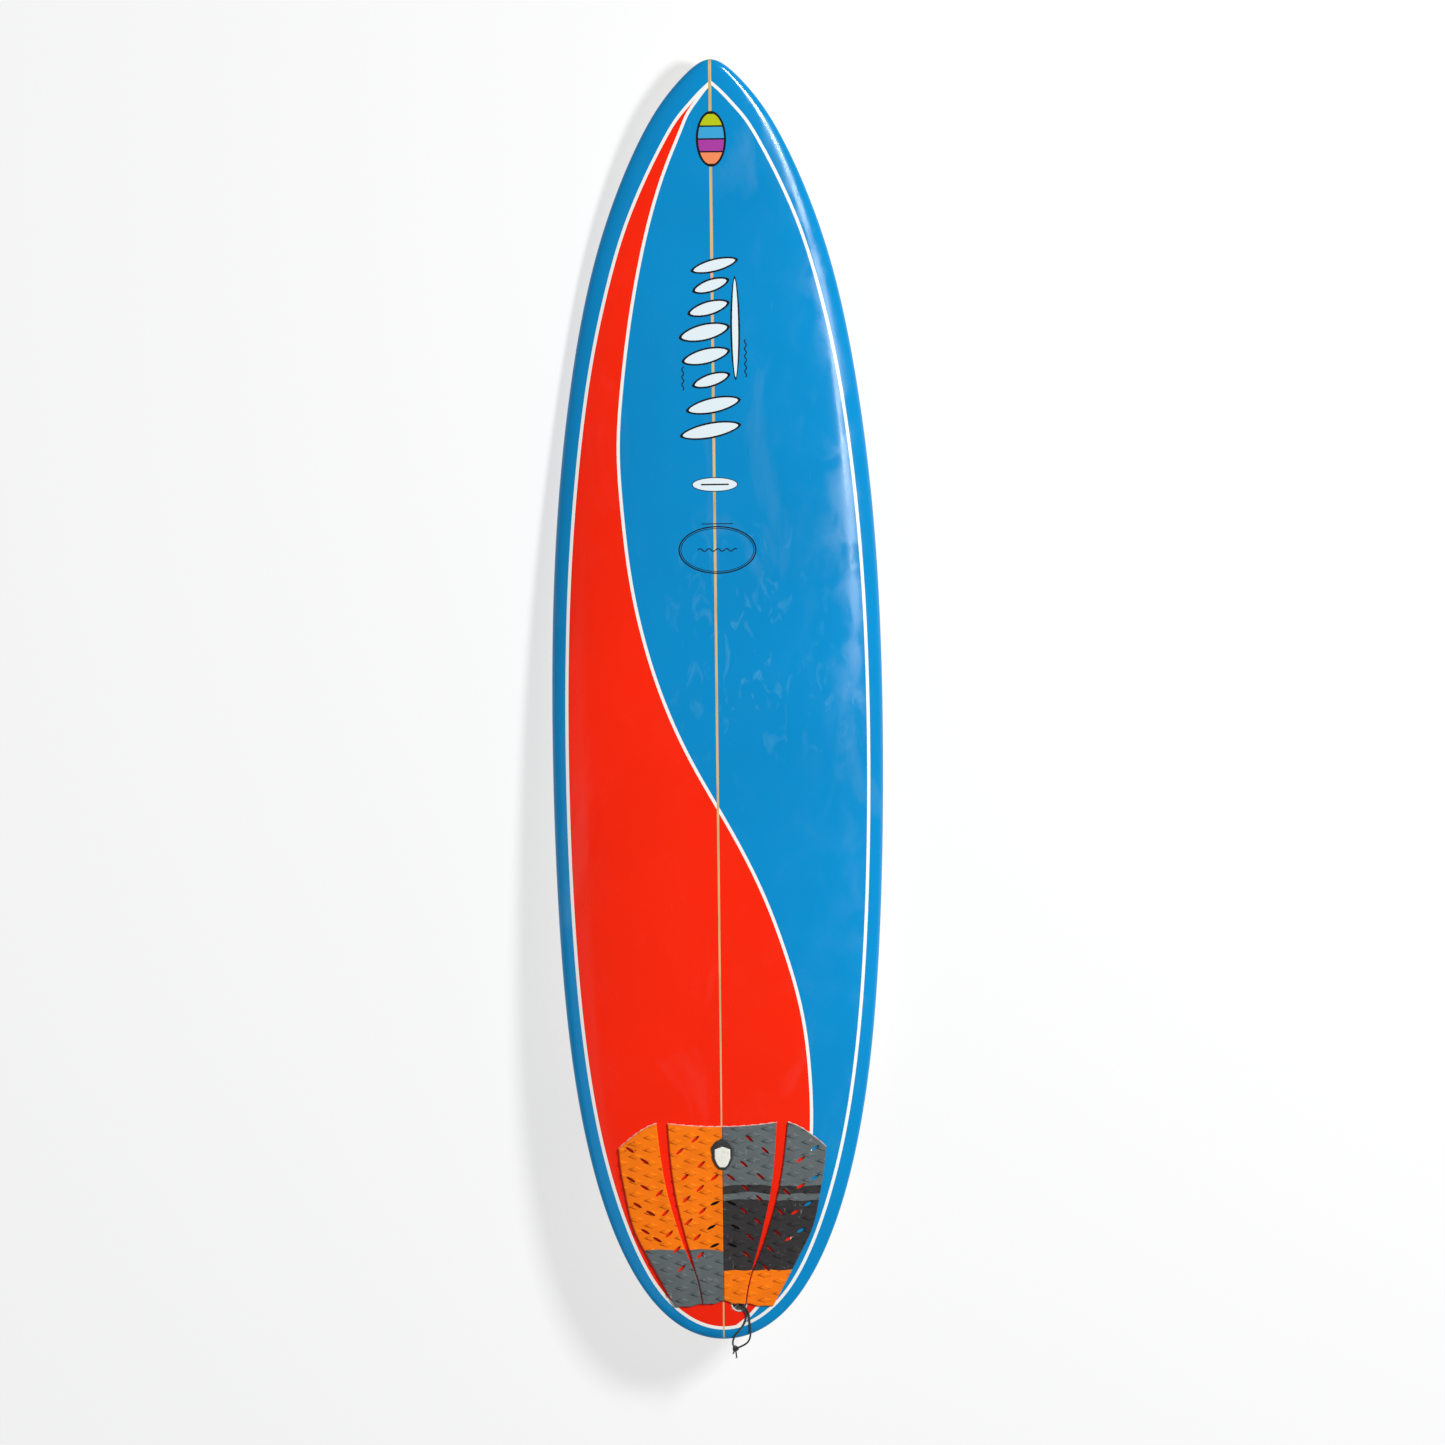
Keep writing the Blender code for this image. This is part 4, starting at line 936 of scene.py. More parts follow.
def hairlines():
    """Thin plain strokes beside the stripes and in the thin oval."""
    strokes = []
    for x, low, high in ((-0.049, 0.492, 0.530), (0.051, 0.512, 0.572)):
        y = np.linspace(low, high, 24)
        sway = 1.6 * MM * np.sin((y - low) * 2.0 * math.pi / 0.012)
        strokes.append(np.stack([x + sway, y], axis=-1))
    x = np.linspace(-0.028, 0.034, 40)
    strokes.append(np.stack([x, THIN_OVAL[1] + 2.2 * MM * np.sin(x * 2.0 * math.pi / 0.014)], axis=-1))
    return [deck_shell(f"stroke_{number}", ribbon(line, 1.6 * MM), "decal_mid", "decal_black")
            for number, line in enumerate(strokes)]


def oval_decals():
    film("decal_oval_rim", disc(SMALL_OVAL, 0.0365, 0.0115), "decal_low", "decal_black", wrap=True)
    film("decal_oval_white", disc(SMALL_OVAL, 0.0352, 0.0102), "decal_mid", "decal_white", wrap=True)
    bar = level_line(-0.022, 0.022, SMALL_OVAL[1])
    film("decal_oval_bar", ribbon(bar, 2.4 * MM), "decal_high", "decal_black")

    parts = []
    for number, (semi_x, semi_y, width) in enumerate(THIN_RINGS):
        grid = ribbon(ellipse(THIN_OVAL, semi_x, semi_y, 160), width, closed=True)
        parts.append(deck_shell(f"ring_{number}", grid, "decal_low", "decal_black", wrap_rows=True))
    cap = ribbon(level_line(-0.022, 0.028, THIN_CAP_Y), 1.4 * MM)
    parts.append(deck_shell("ring_cap", cap, "decal_low", "decal_black"))
    attach(joined("decal_thin_lines", parts + hairlines()), "deck_gloss")


# ---- fins -------------------------------------------------------------------------------------
FIN_BASE = 0.112
FIN_DEPTH = 0.115
FIN_THICKNESS = 0.0064
FIN_SEAT = 0.8 * MM
FINS = {
    "left": {"x": -0.162, "y": -0.655, "cant": -5.0, "toe": -3.0, "inboard": -1},
    "centre": {"x": 0.0, "y": -0.860, "cant": 0.0, "toe": 0.0, "inboard": 0},
    "right": {"x": 0.162, "y": -0.655, "cant": 5.0, "toe": 3.0, "inboard": 1},
}
TAB_SPACING = 0.038
TAB_LENGTH = 0.020
TAB_THICKNESS = 0.006
TAB_DEPTH = 0.013
TAB_ROUNDING = 1.2 * MM
TAB_ROOT = 1.2 * MM           # how far a tab reaches into the blade
TAB_SIDES = 24
FIN_PLUG_RADIUS = 0.014
FIN_TIP_THINNING = 0.72
FIN_PEAK = 0.385              # highest value of the foil's curve, sqrt(c) (1 - c)
FIN_EDGE = 0.10               # thickness left at the leading and trailing edges
FIN_FLAT = 0.25               # thickness of a side fin's flat face
FIN_CURVED = 1.6              # and of its curved one
FIN_RAKE = 0.105
FIN_TIP_START = 0.94          # share of the depth where the tip starts to round off
FIN_FOOT = 0.03               # share of the depth that the fillet at the base takes up
FIN_FOOT_SPREAD = 0.55


def fin_frame(fin, along_base=0.0, with_cant=True):
    """Frame at the fin's base: Z out of the underside, Y to the nose."""
    toe = Matrix.Rotation(math.radians(fin["toe"]), 4, "Z")
    offset = toe @ Vector((0.0, along_base, 0.0))
    x = fin["x"] + offset.x
    y = fin["y"] + offset.y
    slope = float(bottom_height(y + 0.01) - bottom_height(y - 0.01)) / 0.02
    normal = Vector((0.0, slope, -1.0)).normalized()
    y_axis = Vector((0.0, 1.0, slope)).normalized()
    basis = Matrix((y_axis.cross(normal), y_axis, normal)).transposed().to_4x4()
    place = Matrix.Translation((x, y, float(bottom_height(y)))) @ basis
    place = place @ Matrix.Rotation(math.radians(-fin["toe"]), 4, "Z")
    if with_cant:
        place = place @ Matrix.Rotation(math.radians(-fin["cant"]), 4, "Y")
    return place


def fin_section(share, chord, flat_side):
    """Half thickness on each face along the chord, at a share of the depth."""
    half = FIN_THICKNESS / 2.0 * (1.0 - FIN_TIP_THINNING * share)
    ends = np.minimum(1.0, np.minimum(chord, 1.0 - chord) / 0.03) ** 0.5
    foiled = half * (np.sqrt(chord) * (1.0 - chord) / FIN_PEAK + FIN_EDGE * ends)
    if not flat_side:
        return foiled, foiled
    flat = half * FIN_FLAT * ends
    curved = foiled * FIN_CURVED
    return (flat, curved) if flat_side > 0 else (curved, flat)


def fin_edges(share, taper):
    """Places of the leading and trailing edges at a share of the depth."""
    lead = FIN_BASE / 2.0 - FIN_RAKE * share ** 1.7 - 0.018 * share
    trail = -FIN_BASE / 2.0 + 0.020 * math.sin(math.pi * share ** 0.9) - 0.021 * share ** 2
    middle = (lead + trail) / 2.0
    return middle + (lead - middle) * taper, middle + (trail - middle) * taper


def build_fin(position, fin):
    depths = np.concatenate([np.linspace(0.0, 0.88, 30), 1.0 - 0.12 * np.linspace(0.95, 0.0, 12) ** 1.6])
    chord = (1.0 - np.cos(np.linspace(0.0, math.pi, 26))) / 2.0
    place = fin_frame(fin)
    rings = []
    for share in depths:
        tip = max(0.0, (share - FIN_TIP_START) / (1.0 - FIN_TIP_START))
        taper = math.sqrt(max(0.0, 1.0 - tip ** 2))
        lead, trail = fin_edges(share, taper)
        right, left = fin_section(share, chord, fin["inboard"])
        foot = 1.0 + FIN_FOOT_SPREAD * max(0.0, 1.0 - share / FIN_FOOT) ** 2
        ys = lead + (trail - lead) * chord
        z = FIN_SEAT + (FIN_DEPTH - FIN_SEAT) * share
        ring = [(r * foot * taper, y, z) for r, y in zip(right, ys)]
        ring += [(-w * foot * taper, y, z) for w, y in zip(left[-2:0:-1], ys[-2:0:-1])]
        rings.append([tuple(place @ Vector(p)) for p in ring])
    grid = np.array(rings)
    rows, columns = grid.shape[:2]
    faces = grid_faces(rows, columns, True).tolist()
    faces.append(tuple(range(columns)))
    blade = add_mesh(f"fin_{position}_blade", grid.reshape(-1, 3), faces, MATERIALS["fin"])
    for sign in (1, -1):
        boolean(blade, fin_tab(place, sign * TAB_SPACING), "UNION")
    attach(blade, "fin_resin", f"fin_{position}", body=f"fin_{position}_body")


def fin_tab(place, y_centre):
    """A tab with rounded corners, from its foot in the blade down into the plug."""
    top = FIN_SEAT + TAB_ROOT
    rounding = TAB_ROUNDING
    corners = []
    for k in range(TAB_SIDES):
        angle = 2.0 * math.pi * (k + 0.5) / TAB_SIDES
        x = math.copysign(TAB_THICKNESS / 2.0 - rounding, math.cos(angle)) + rounding * math.cos(angle)
        y = math.copysign(TAB_LENGTH / 2.0 - rounding, math.sin(angle)) + rounding * math.sin(angle)
        corners.append((x, y))
    levels = ((-TAB_DEPTH, 0.86), (-TAB_DEPTH + 0.4 * MM, 0.97), (-TAB_DEPTH + 1.2 * MM, 1.0), (top, 1.0))
    points = []
    for z, size in levels:
        points += [tuple(place @ Vector((x * size, y_centre + y * size, z))) for x, y in corners]
    faces = grid_faces(len(levels), len(corners), True).tolist()
    faces.append(tuple(range(len(corners))))
    faces.append(tuple(range(len(points) - len(corners), len(points))))
    return add_mesh("tab", points, faces, MATERIALS["fin"])


# ---- leash plug, string and knot --------------------------------------------------------------
STRING_DIAMETER = 3.0 * MM
STRING_LIFT = 1.9 * MM
KNOT_CENTRE = (0.0172, -1.0322, 0.0415)
KNOT_REACH = 3.0 * MM         # from the knot's middle to the ends of the strands in it
KNOT_RING = 2.8 * MM
KNOT_RING_SWING = 1.15 * MM
KNOT_RISE = 1.5 * MM
KNOT_SEED = 7
TAILS = (((-0.28, -0.62, -0.73), 0.015), ((0.10, -0.80, -0.59), 0.021))      # direction and length
TAIL_RADIUS = 1.35 * MM
TAIL_DROOP = 1.6 * MM
FRAY_LENGTH = 4.0 * MM
FIBRES = 16
FIBRE_DROOP = 0.8 * MM
BRAID_RAISE = 0.16            # of the radius
STRING_SHARP_DEG = 80.0
CUP_SIDES = 72
CUP_RIM_ROUNDING = 0.9 * MM
CUP_RIM_STEPS = 6


def build_cup():
    rim = CUP_RIM_ROUNDING
    profile = [(0.0, -CUP_HEIGHT), (CUP_RADIUS - 1.0 * MM, -CUP_HEIGHT), (CUP_RADIUS, -CUP_HEIGHT + 1.0 * MM)]
    quarter = [math.pi / 2.0 * k / CUP_RIM_STEPS for k in range(CUP_RIM_STEPS + 1)]
    profile += [(CUP_RADIUS - rim + rim * math.cos(a), -rim + rim * math.sin(a)) for a in quarter]
    profile += [(CUP_BORE + rim - rim * math.sin(a), -rim + rim * math.cos(a)) for a in quarter]
    profile += [(CUP_BORE, -CUP_DEPTH + 2.5 * MM), (CUP_BORE - 0.8 * MM, -CUP_DEPTH + 0.8 * MM),
                (CUP_BORE - 2.5 * MM, -CUP_DEPTH), (0.0, -CUP_DEPTH)]
    cup = revolved("leash_plug_shell", profile, CUP_FRAME, MATERIALS["cup"], CUP_SIDES)
    attach(cup, "leash_plug_plastic", "leash_plug_cup")


def above_deck(x, y, lift=STRING_LIFT):
    return (x, y, float(deck_height(x, y)) + lift)


def knot_side(direction):
    """Where a strand goes into the knot."""
    return tuple(Vector(KNOT_CENTRE) + Vector(direction).normalized() * KNOT_REACH)


def in_cup(*place):
    return tuple(CUP_FRAME @ Vector(place))


def string_routes():
    """Centre lines of the two strands, from under the pin to the knot and back again."""
    left = [in_cup(0.0, -0.00015, -0.0134), in_cup(-0.0003, -0.0037, -0.01254),
            in_cup(-0.0008, -0.00604, -0.0102), in_cup(-0.0014, -0.0069, -0.0070),
            in_cup(-0.0018, -0.0069, -0.0037), in_cup(-0.0019, -0.00776, -0.0005),
            in_cup(-0.0019, -0.0101, 0.00184), in_cup(-0.0018, -0.0133, 0.0027),
            above_deck(0.0336, -0.9737, 0.0023), above_deck(0.0349, -0.9785), above_deck(0.0342, -0.9843),
            above_deck(0.0300, -0.9942), above_deck(0.0223, -1.0040, 0.0021), (0.0157, -1.0130, 0.0655),
            (0.0132, -1.0205, 0.0598), (0.0136, -1.0262, 0.0520), knot_side((-0.24, 0.42, 0.85))]
    right = [knot_side((0.90, 0.25, 0.50)), (0.0290, -1.0272, 0.0503), (0.0362, -1.0222, 0.0575),
             (0.0402, -1.0150, 0.0632), (0.0414, -1.0060, 0.0665), above_deck(0.0408, -0.9950, 0.0020),
             above_deck(0.0398, -0.9870), above_deck(0.0391, -0.9795), above_deck(0.0377, -0.9735, 0.0021),
             in_cup(0.0020, -0.0145, 0.0027), in_cup(0.0019, -0.0122, 0.00233),
             in_cup(0.0019, -0.0099, 0.00137), in_cup(0.0019, -0.0076, 0.00018),
             in_cup(0.0019, -0.0053, -0.00078), in_cup(0.0019, -0.0028, -0.00115),
             in_cup(0.0019, 0.0002, -0.00115), in_cup(0.0018, 0.00325, -0.00157),
             in_cup(0.0016, 0.0060, -0.0033), in_cup(0.0013, 0.0074, -0.0063),
             in_cup(0.0009, 0.0070, -0.0095), in_cup(0.0005, 0.0049, -0.0121),
             in_cup(0.0001, 0.0020, -0.0133), in_cup(0.0, 0.00015, -0.0134)]
    return left, right


def build_strand(name, route, node):
    """One braided strand; returns the piece and its centre line in the rest pose."""
    centre = to_world(resampled(route, 0.4 * MM))
    verts, faces = tube(centre, STRING_DIAMETER / 2.0, 24, BRAID_RAISE)
    piece = add_mesh(name, verts, faces, MATERIALS["string"], placed=True, sharp_deg=STRING_SHARP_DEG)
    return attach(piece, "string_nylon", node), centre


def add_tube(parts, line, radius, sides, weave=BRAID_RAISE):
    """Adds a tube to a list of points and faces that one mesh is made of."""
    points, faces = parts
    verts, quads = tube(line, radius, sides, weave)
    start = len(points)
    points += [tuple(v) for v in verts]
    faces += [tuple(i + start for i in face) for face in quads]


def add_tail(parts, rng, direction, length):
    """One end of the string, with its frayed fibres."""
    centre = np.array(KNOT_CENTRE)
    down = np.array((0.0, 0.0, -1.0))
    ahead = np.array(direction) / np.linalg.norm(direction)
    share = np.linspace(0.0, 1.0, 26)[:, None]
    trunk = centre + ahead * share * (length - FRAY_LENGTH) + TAIL_DROOP * down * share ** 2
    add_tube(parts, trunk, TAIL_RADIUS * (1.0 - 0.12 * share[:, 0]), 16)
    bend = np.linspace(0.0, 1.0, 6)[:, None]
    for _ in range(FIBRES):
        spray = np.array([rng.uniform(-1.0, 1.0) for _ in range(3)]) * 0.55
        fibre_ahead = (ahead + spray) / np.linalg.norm(ahead + spray)
        reach = rng.uniform(2.2, 4.2) * MM
        root = trunk[-1] - ahead * 0.6 * MM + spray * 1.0 * MM
        fibre = root + fibre_ahead * bend * reach + FIBRE_DROOP * down * bend ** 2
        add_tube(parts, fibre, np.linspace(0.26, 0.12, 6) * MM, 6, 0.0)


def build_knot():
    """An overhand knot pulled tight: a wound lump with two short tails, their ends frayed."""
    parts = ([], [])
    turn = np.linspace(0.0, 2.0 * math.pi, 150)
    ring = KNOT_RING + KNOT_RING_SWING * np.cos(3.0 * turn)
    height = KNOT_RISE * np.sin(3.0 * turn)
    wound = np.stack([ring * np.cos(2.0 * turn), ring * np.sin(2.0 * turn), height], axis=-1)
    add_tube(parts, np.array(KNOT_CENTRE) + wound, STRING_DIAMETER / 2.0, 20)
    rng = random.Random(KNOT_SEED)
    for direction, length in TAILS:
        add_tail(parts, rng, direction, length)
    piece = add_mesh("leash_knot", parts[0], parts[1], MATERIALS["string"], sharp_deg=STRING_SHARP_DEG)
    return attach(piece, "string_nylon", "leash_string_knot")


def build_leash():
    build_cup()
    left, right = string_routes()
    knot = build_knot()
    strand_left, line_left = build_strand("leash_strand_left", left, "leash_string_left")
    strand_right, line_right = build_strand("leash_strand_right", right, "leash_string_right")


# ---- traction pad -----------------------------------------------------------------------------
PAD_THICKNESS = 5.0 * MM
ADHESIVE = 0.8 * MM
PAD_LIFT = 0.45 * MM
PAD_OUTER_EDGE = (
    (-0.966, 0.077), (-0.912, 0.106), (-0.872, 0.127), (-0.845, 0.140), (-0.783, 0.155),
    (-0.757, 0.160), (-0.712, 0.165),
)
PAD_TOP_Y = -0.673
PAD_TOP_CENTRE_Y = -0.679
PAD_SHOULDER_Y = -0.712
PAD_BOTTOM_Y = -0.9602
PAD_OUTER_DROP = 0.004
PAD_ARCH = 0.006
GAP_LINE = (
    (-0.9642, 0.0340), (-0.924, 0.0410), (-0.900, 0.0485), (-0.871, 0.0585), (-0.830, 0.0705),
    (-0.793, 0.0800), (-0.740, 0.0890), (-0.673, 0.0955),
)
GAP_TOP_WIDTH = 0.0175
GAP_SLIT_WIDTH = 0.0016
GAP_SLIT_Y = -0.905
GAP_POWER = 0.6
CENTRE_EDGE = 0.4 * MM
PAD_GRID = 1.0 * MM
EDGE_STEPS = np.array((0.0, 0.25, 0.7, 1.3, 2.1)) * MM
EDGE_ROUNDING = 1.9 * MM

STAR_COLUMN = 24.0 * MM       # the raised stars stand in columns, every other one shifted by half a row
STAR_ROW = 20.0 * MM
STAR_HALF_LENGTH = 12.6 * MM
STAR_HALF_WIDTH = 4.9 * MM
STAR_POWER = 0.86
STAR_RELIEF = 1.5 * MM
STAR_EDGE = 0.26              # how wide a star's slope is, as a share of its reach
CUT_DEPTH = 0.55              # of the cuts round the stars, as a share of the relief
CUT_PLACE = (1.02, 0.13)      # reach of the cut and its spread
# reach and spread of the painted highlight on a star's lit upper right edge
LIT_EDGE_PLACE = (0.82, 0.14)
STAR_ORIGIN = {"inner": (0.0257, -0.7025), "outer": (0.1135, -0.7150)}

OUTER_EDGE_CURVE = side_curve(PAD_OUTER_EDGE)
GAP_CURVE = side_curve(GAP_LINE)


def pad_outer_edge(y):
    return OUTER_EDGE_CURVE(np.maximum(y, PAD_OUTER_EDGE[0][0] - 0.003))


def gap_half(y):
    share = np.maximum(0.0, (y - GAP_SLIT_Y) / (PAD_TOP_Y - GAP_SLIT_Y))
    return (GAP_SLIT_WIDTH + (GAP_TOP_WIDTH - GAP_SLIT_WIDTH) * share ** GAP_POWER) / 2.0


def pad_sides(piece, y):
    if piece == "outer":
        return GAP_CURVE(y) + gap_half(y), pad_outer_edge(y)
    return CENTRE_EDGE + 0.0 * y, GAP_CURVE(y) - gap_half(y)


def pad_top(piece, share):
    if piece == "inner":
        return PAD_TOP_CENTRE_Y + (PAD_TOP_Y - PAD_TOP_CENTRE_Y) * share ** 2
    return PAD_TOP_Y + (PAD_SHOULDER_Y - PAD_TOP_Y) * share ** 1.4


def pad_bottom(piece, share):
    wave = 0.9 * MM * np.sin(share * 11.0)
    if piece == "inner":
        return PAD_BOTTOM_Y + PAD_ARCH * np.maximum(0.0, 1.0 - share / 0.55) ** 1.5 + wave * share
    return PAD_BOTTOM_Y - PAD_OUTER_DROP * np.minimum(1.0, share / 0.5) + wave * (1.0 - share)


def near_reach(reach, place, spread):
    return np.exp(-((reach - place) / spread) ** 2)


def star_relief(piece, side, x, y):
    """The lattice of four-pointed stars: its height, 1 on a star, and its painted light and shade.

    x is the distance from the centre line and side its sign. The mark is painted light and shade: it is 0
    in the real cut that runs round a star's left tip, darkened there as painted shade, 1 as a painted
    highlight on the edge at its upper right, and 0.5 elsewhere.
    """
    origin_x, origin_y = STAR_ORIGIN[piece]
    raised = np.zeros_like(x)
    cut = np.zeros_like(x)
    lightening = np.zeros_like(x)
    column = np.round((x - origin_x) / STAR_COLUMN)
    for near in (-1, 0, 1):
        place = column + near
        shift = np.where(place % 2 == 0, 0.0, STAR_ROW / 2.0)
        u = x - origin_x - place * STAR_COLUMN
        v = (y - origin_y - shift + STAR_ROW / 2.0) % STAR_ROW - STAR_ROW / 2.0
        reach = (np.abs(u) / STAR_HALF_LENGTH) ** STAR_POWER + (np.abs(v) / STAR_HALF_WIDTH) ** STAR_POWER
        raised = np.maximum(raised, np.clip((1.0 - reach) / STAR_EDGE, 0.0, 1.0))
        to_right = side * u / STAR_HALF_LENGTH
        edge = near_reach(reach, *CUT_PLACE)
        cut = np.maximum(cut, edge * np.clip((-to_right - 0.15) * 2.2, 0.0, 1.0))
        lip = near_reach(reach, *LIT_EDGE_PLACE)
        # painted highlight: lighter only on the upper right edge, the side the light falls on
        lightening = np.maximum(lightening, lip * np.clip(6.0 * to_right + 0.8, 0.0, 1.0) * np.clip(v / MM, 0.0, 1.0))
    height = raised * raised * (3.0 - 2.0 * raised) - CUT_DEPTH * cut
    # the second value is painted light and shade: highlight on the lit edges, shade in the cuts
    return height, 0.5 + 0.5 * lightening * (1.0 - cut) - 0.5 * cut


def mark_lattice_shading(obj, piece, side):
    """Keeps each corner's painted light and shade from the lattice in an attribute that the foam's colour
    reads.
    """
    mesh = obj.data
    places = np.empty(len(mesh.vertices) * 3)
    mesh.vertices.foreach_get("co", places)
    turn = np.array(REST.to_3x3())
    places = (places.reshape(-1, 3) - np.array(REST.translation)) @ turn
    mark = star_relief(piece, side, places[:, 0] * side, places[:, 1])[1]
    corners = np.empty(len(mesh.loops), dtype=np.int32)
    mesh.loops.foreach_get("vertex_index", corners)
    lattice_shading = mesh.attributes.new("lattice_shading", "FLOAT", "CORNER")
    lattice_shading.data.foreach_set("value", mark[corners].astype(np.float32))


def rounded_drop(distance):
    """How much lower the top is near a free edge."""
    inside = np.clip(1.0 - distance / EDGE_ROUNDING, 0.0, 1.0)
    return EDGE_ROUNDING * (1.0 - np.sqrt(1.0 - inside ** 2))


ARCH_LOW_Y = -0.885
ARCH_HIGH_Y = -0.768
ARCH_RISE = 2.6 * MM
ARCH_REACH = 0.024


def arch_height(x, y):
    """The ridge under the foot's arch, beside the centre line."""
    length = np.clip((y - ARCH_LOW_Y) / (ARCH_HIGH_Y - ARCH_LOW_Y), 0.0, 1.0)
    across = np.clip(1.0 - x / ARCH_REACH, 0.0, 1.0)
    return ARCH_RISE * np.sin(math.pi * length) ** 0.6 * across ** 1.2


def pad_surface(piece, side, share, x, y):
    """Height of the pad's top above the deck."""
    inner, outer = pad_sides(piece, y)
    width = outer - inner
    drop = rounded_drop(share * width) if piece == "outer" else 0.0 * x
    drop = np.maximum(drop, rounded_drop((1.0 - share) * width))
    drop = np.maximum(drop, rounded_drop(pad_top(piece, share) - y))
    drop = np.maximum(drop, rounded_drop(y - pad_bottom(piece, share)))
    top = PAD_LIFT + ADHESIVE + GAP + PAD_THICKNESS
    height = star_relief(piece, side, x, y)[0]
    return top - STAR_RELIEF * (1.0 - height) - drop + arch_height(x, y)


# slits: place on the right half in mm and angle; the blind ones stop above the deck
SLIT_LENGTH = 16.5 * MM
SLIT_WIDTH = 4.6 * MM
SLITS = {
    "inner": (
        (43, -698, -41), (68, -717, -41), (34, -738, -41), (60, -758, -41), (13, -759, -38), (36, -776, -41),
        (58, -793, -41), (33, -812, -41), (55, -829, -41), (42, -854, -41), (37, -882, -41),
    ),
    "inner_blind": ((13, -800, -22), (19, -838, -28), (14, -867, -22)),
    "outer": (
        (147, -714, 33), (124, -732, 32), (146, -761, 31), (124, -774, 30), (136, -802, 31), (115, -815, 30),
        (124, -844, 30), (105, -857, 30), (101, -783, -41), (92, -815, -42), (86, -848, -43), (74, -873, -43),
        (67, -903, -43),
    ),
}


SLIT_LOW = -2.0 * MM          # a slit's lowest and highest points above the deck
SLIT_HIGH = 12.0 * MM
BLIND_SLIT_LOW = 3.4 * MM
SLIT_SIDES = 20


def slit_cutter(place, side, material, low):
    """A pointed leaf standing on the deck, longer than the pad is thick."""
    x, y, angle_deg = place
    x, y = side * x * MM, y * MM
    angle = math.radians(side * angle_deg)
    ahead = np.array((math.cos(angle), math.sin(angle)))
    across = np.array((-ahead[1], ahead[0]))
    rim = []
    for k in range(SLIT_SIDES):
        turn = 2.0 * math.pi * k / SLIT_SIDES
        bulge = math.sin(turn) * abs(math.sin(turn)) ** 0.4
        rim.append(ahead * SLIT_LENGTH / 2.0 * math.cos(turn) + across * SLIT_WIDTH / 2.0 * bulge)
    level = float(deck_height(x, y))
    points = [(x + p[0], y + p[1], level + z) for z in (low, SLIT_HIGH) for p in rim]
    faces = grid_faces(2, SLIT_SIDES, True).tolist()
    faces += [tuple(range(SLIT_SIDES)), tuple(range(SLIT_SIDES, 2 * SLIT_SIDES))]
    return add_mesh("slit", points, faces, material)


def cut_slits(obj, piece, side, low_y, high_y, material, blind=True):
    """Cuts the slits whose middles are near a block's own stretch of the pad."""
    cuts = [(place, material, SLIT_LOW) for place in SLITS[piece]]
    if blind:
        cuts += [(place, MATERIALS["slit"], BLIND_SLIT_LOW) for place in SLITS.get(piece + "_blind", ())]
    for place, colour, low in cuts:
        if low_y - SLIT_LENGTH < place[1] * MM < high_y + SLIT_LENGTH:
            boolean(obj, slit_cutter(place, side, colour, low))


def spaced(length, fine_start, fine_end, step):
    """Shares from 0 to 1 of a length, with finer steps at the ends that are free edges."""
    start = EDGE_STEPS if fine_start else np.zeros(1)
    end = length - EDGE_STEPS[::-1] if fine_end else np.array((length,))
    count = max(2, int((end[0] - start[-1]) / step))
    middle = np.linspace(start[-1], end[0], count)[1:-1]
    return np.concatenate([start, middle, end]) / length


PAD_BLOCKS = {
    "left": (("grey", "grey", -0.873), ("orange", "orange", None)),
    "right": (("orange", "orange", -0.907), ("black", "black", -0.797), ("grey_stripe", "grey", -0.786),
              ("black_stripe", "black", -0.774), ("grey", "grey", None)),
}
SIDES = {"left": -1, "right": 1}


def join_line(side_name, piece, end, share):
    """Where two colour blocks meet, slightly wavy as the layers were cut."""
    wave = 0.7 * MM * np.sin(share * 9.0 + end * 300.0)
    if piece == "outer":
        return end + wave
    if side_name == "left":
        return end + wave - 5.0 * MM * np.exp(-(share / 0.16) ** 2)
    if end > -0.85:
        return end + wave + 3.2 * MM * np.sin(math.pi * share)
    return end + wave


def block_grid(piece, low, high, fine_low, fine_high):
    """Shares and places over one colour block."""
    y_mid = float(np.mean(low(np.array((0.5,))) + high(np.array((0.5,)))) / 2.0)
    inner, outer = pad_sides(piece, np.linspace(y_mid - 0.03, y_mid + 0.03, 5))
    shares = spaced(float(np.max(outer - inner)), piece == "outer", True, PAD_GRID)
    tall = float(np.max(high(shares) - low(shares)))
    steps = spaced(tall, fine_low, fine_high, PAD_GRID)
    y = low(shares)[None, :] + (high(shares) - low(shares))[None, :] * steps[:, None]
    inner, outer = pad_sides(piece, y)
    return np.broadcast_to(shares[None, :], y.shape), inner + (outer - inner) * shares[None, :], y


def build_pads():
    base = PAD_LIFT + ADHESIVE + GAP
    for side_name, blocks in PAD_BLOCKS.items():
        side = SIDES[side_name]
        for piece in ("inner", "outer"):
            def bottom_line(share, piece=piece):
                return pad_bottom(piece, share)

            def top_line(share, piece=piece):
                return pad_top(piece, share)

            low = bottom_line
            for block, colour, end in blocks:
                def join(share, piece=piece, end=end):
                    return join_line(side_name, piece, end, share)

                high = top_line if end is None else join
                share, x, y = block_grid(piece, low, high, low is bottom_line, end is None)
                lift = pad_surface(piece, side, share, x, y)
                level = deck_height(x, y)
                upper = np.stack([side * x, y, level + lift], axis=-1)
                lower = np.stack([side * x, y, level + base + 0.0 * lift], axis=-1)
                name = f"pad_{side_name}_{piece}_{block}"
                obj = shell(name + "_foam", upper, lower, MATERIALS[colour], sharp_deg=55.0)
                obj.data.materials.append(MATERIALS["slit"])
                mark_lattice_shading(obj, piece, side)
                cut_slits(obj, piece, side, float(y.min()), float(y.max()), MATERIALS[colour])
                attach(obj, "eva_" + colour, name)
                low = high
            build_adhesive(side_name, piece)


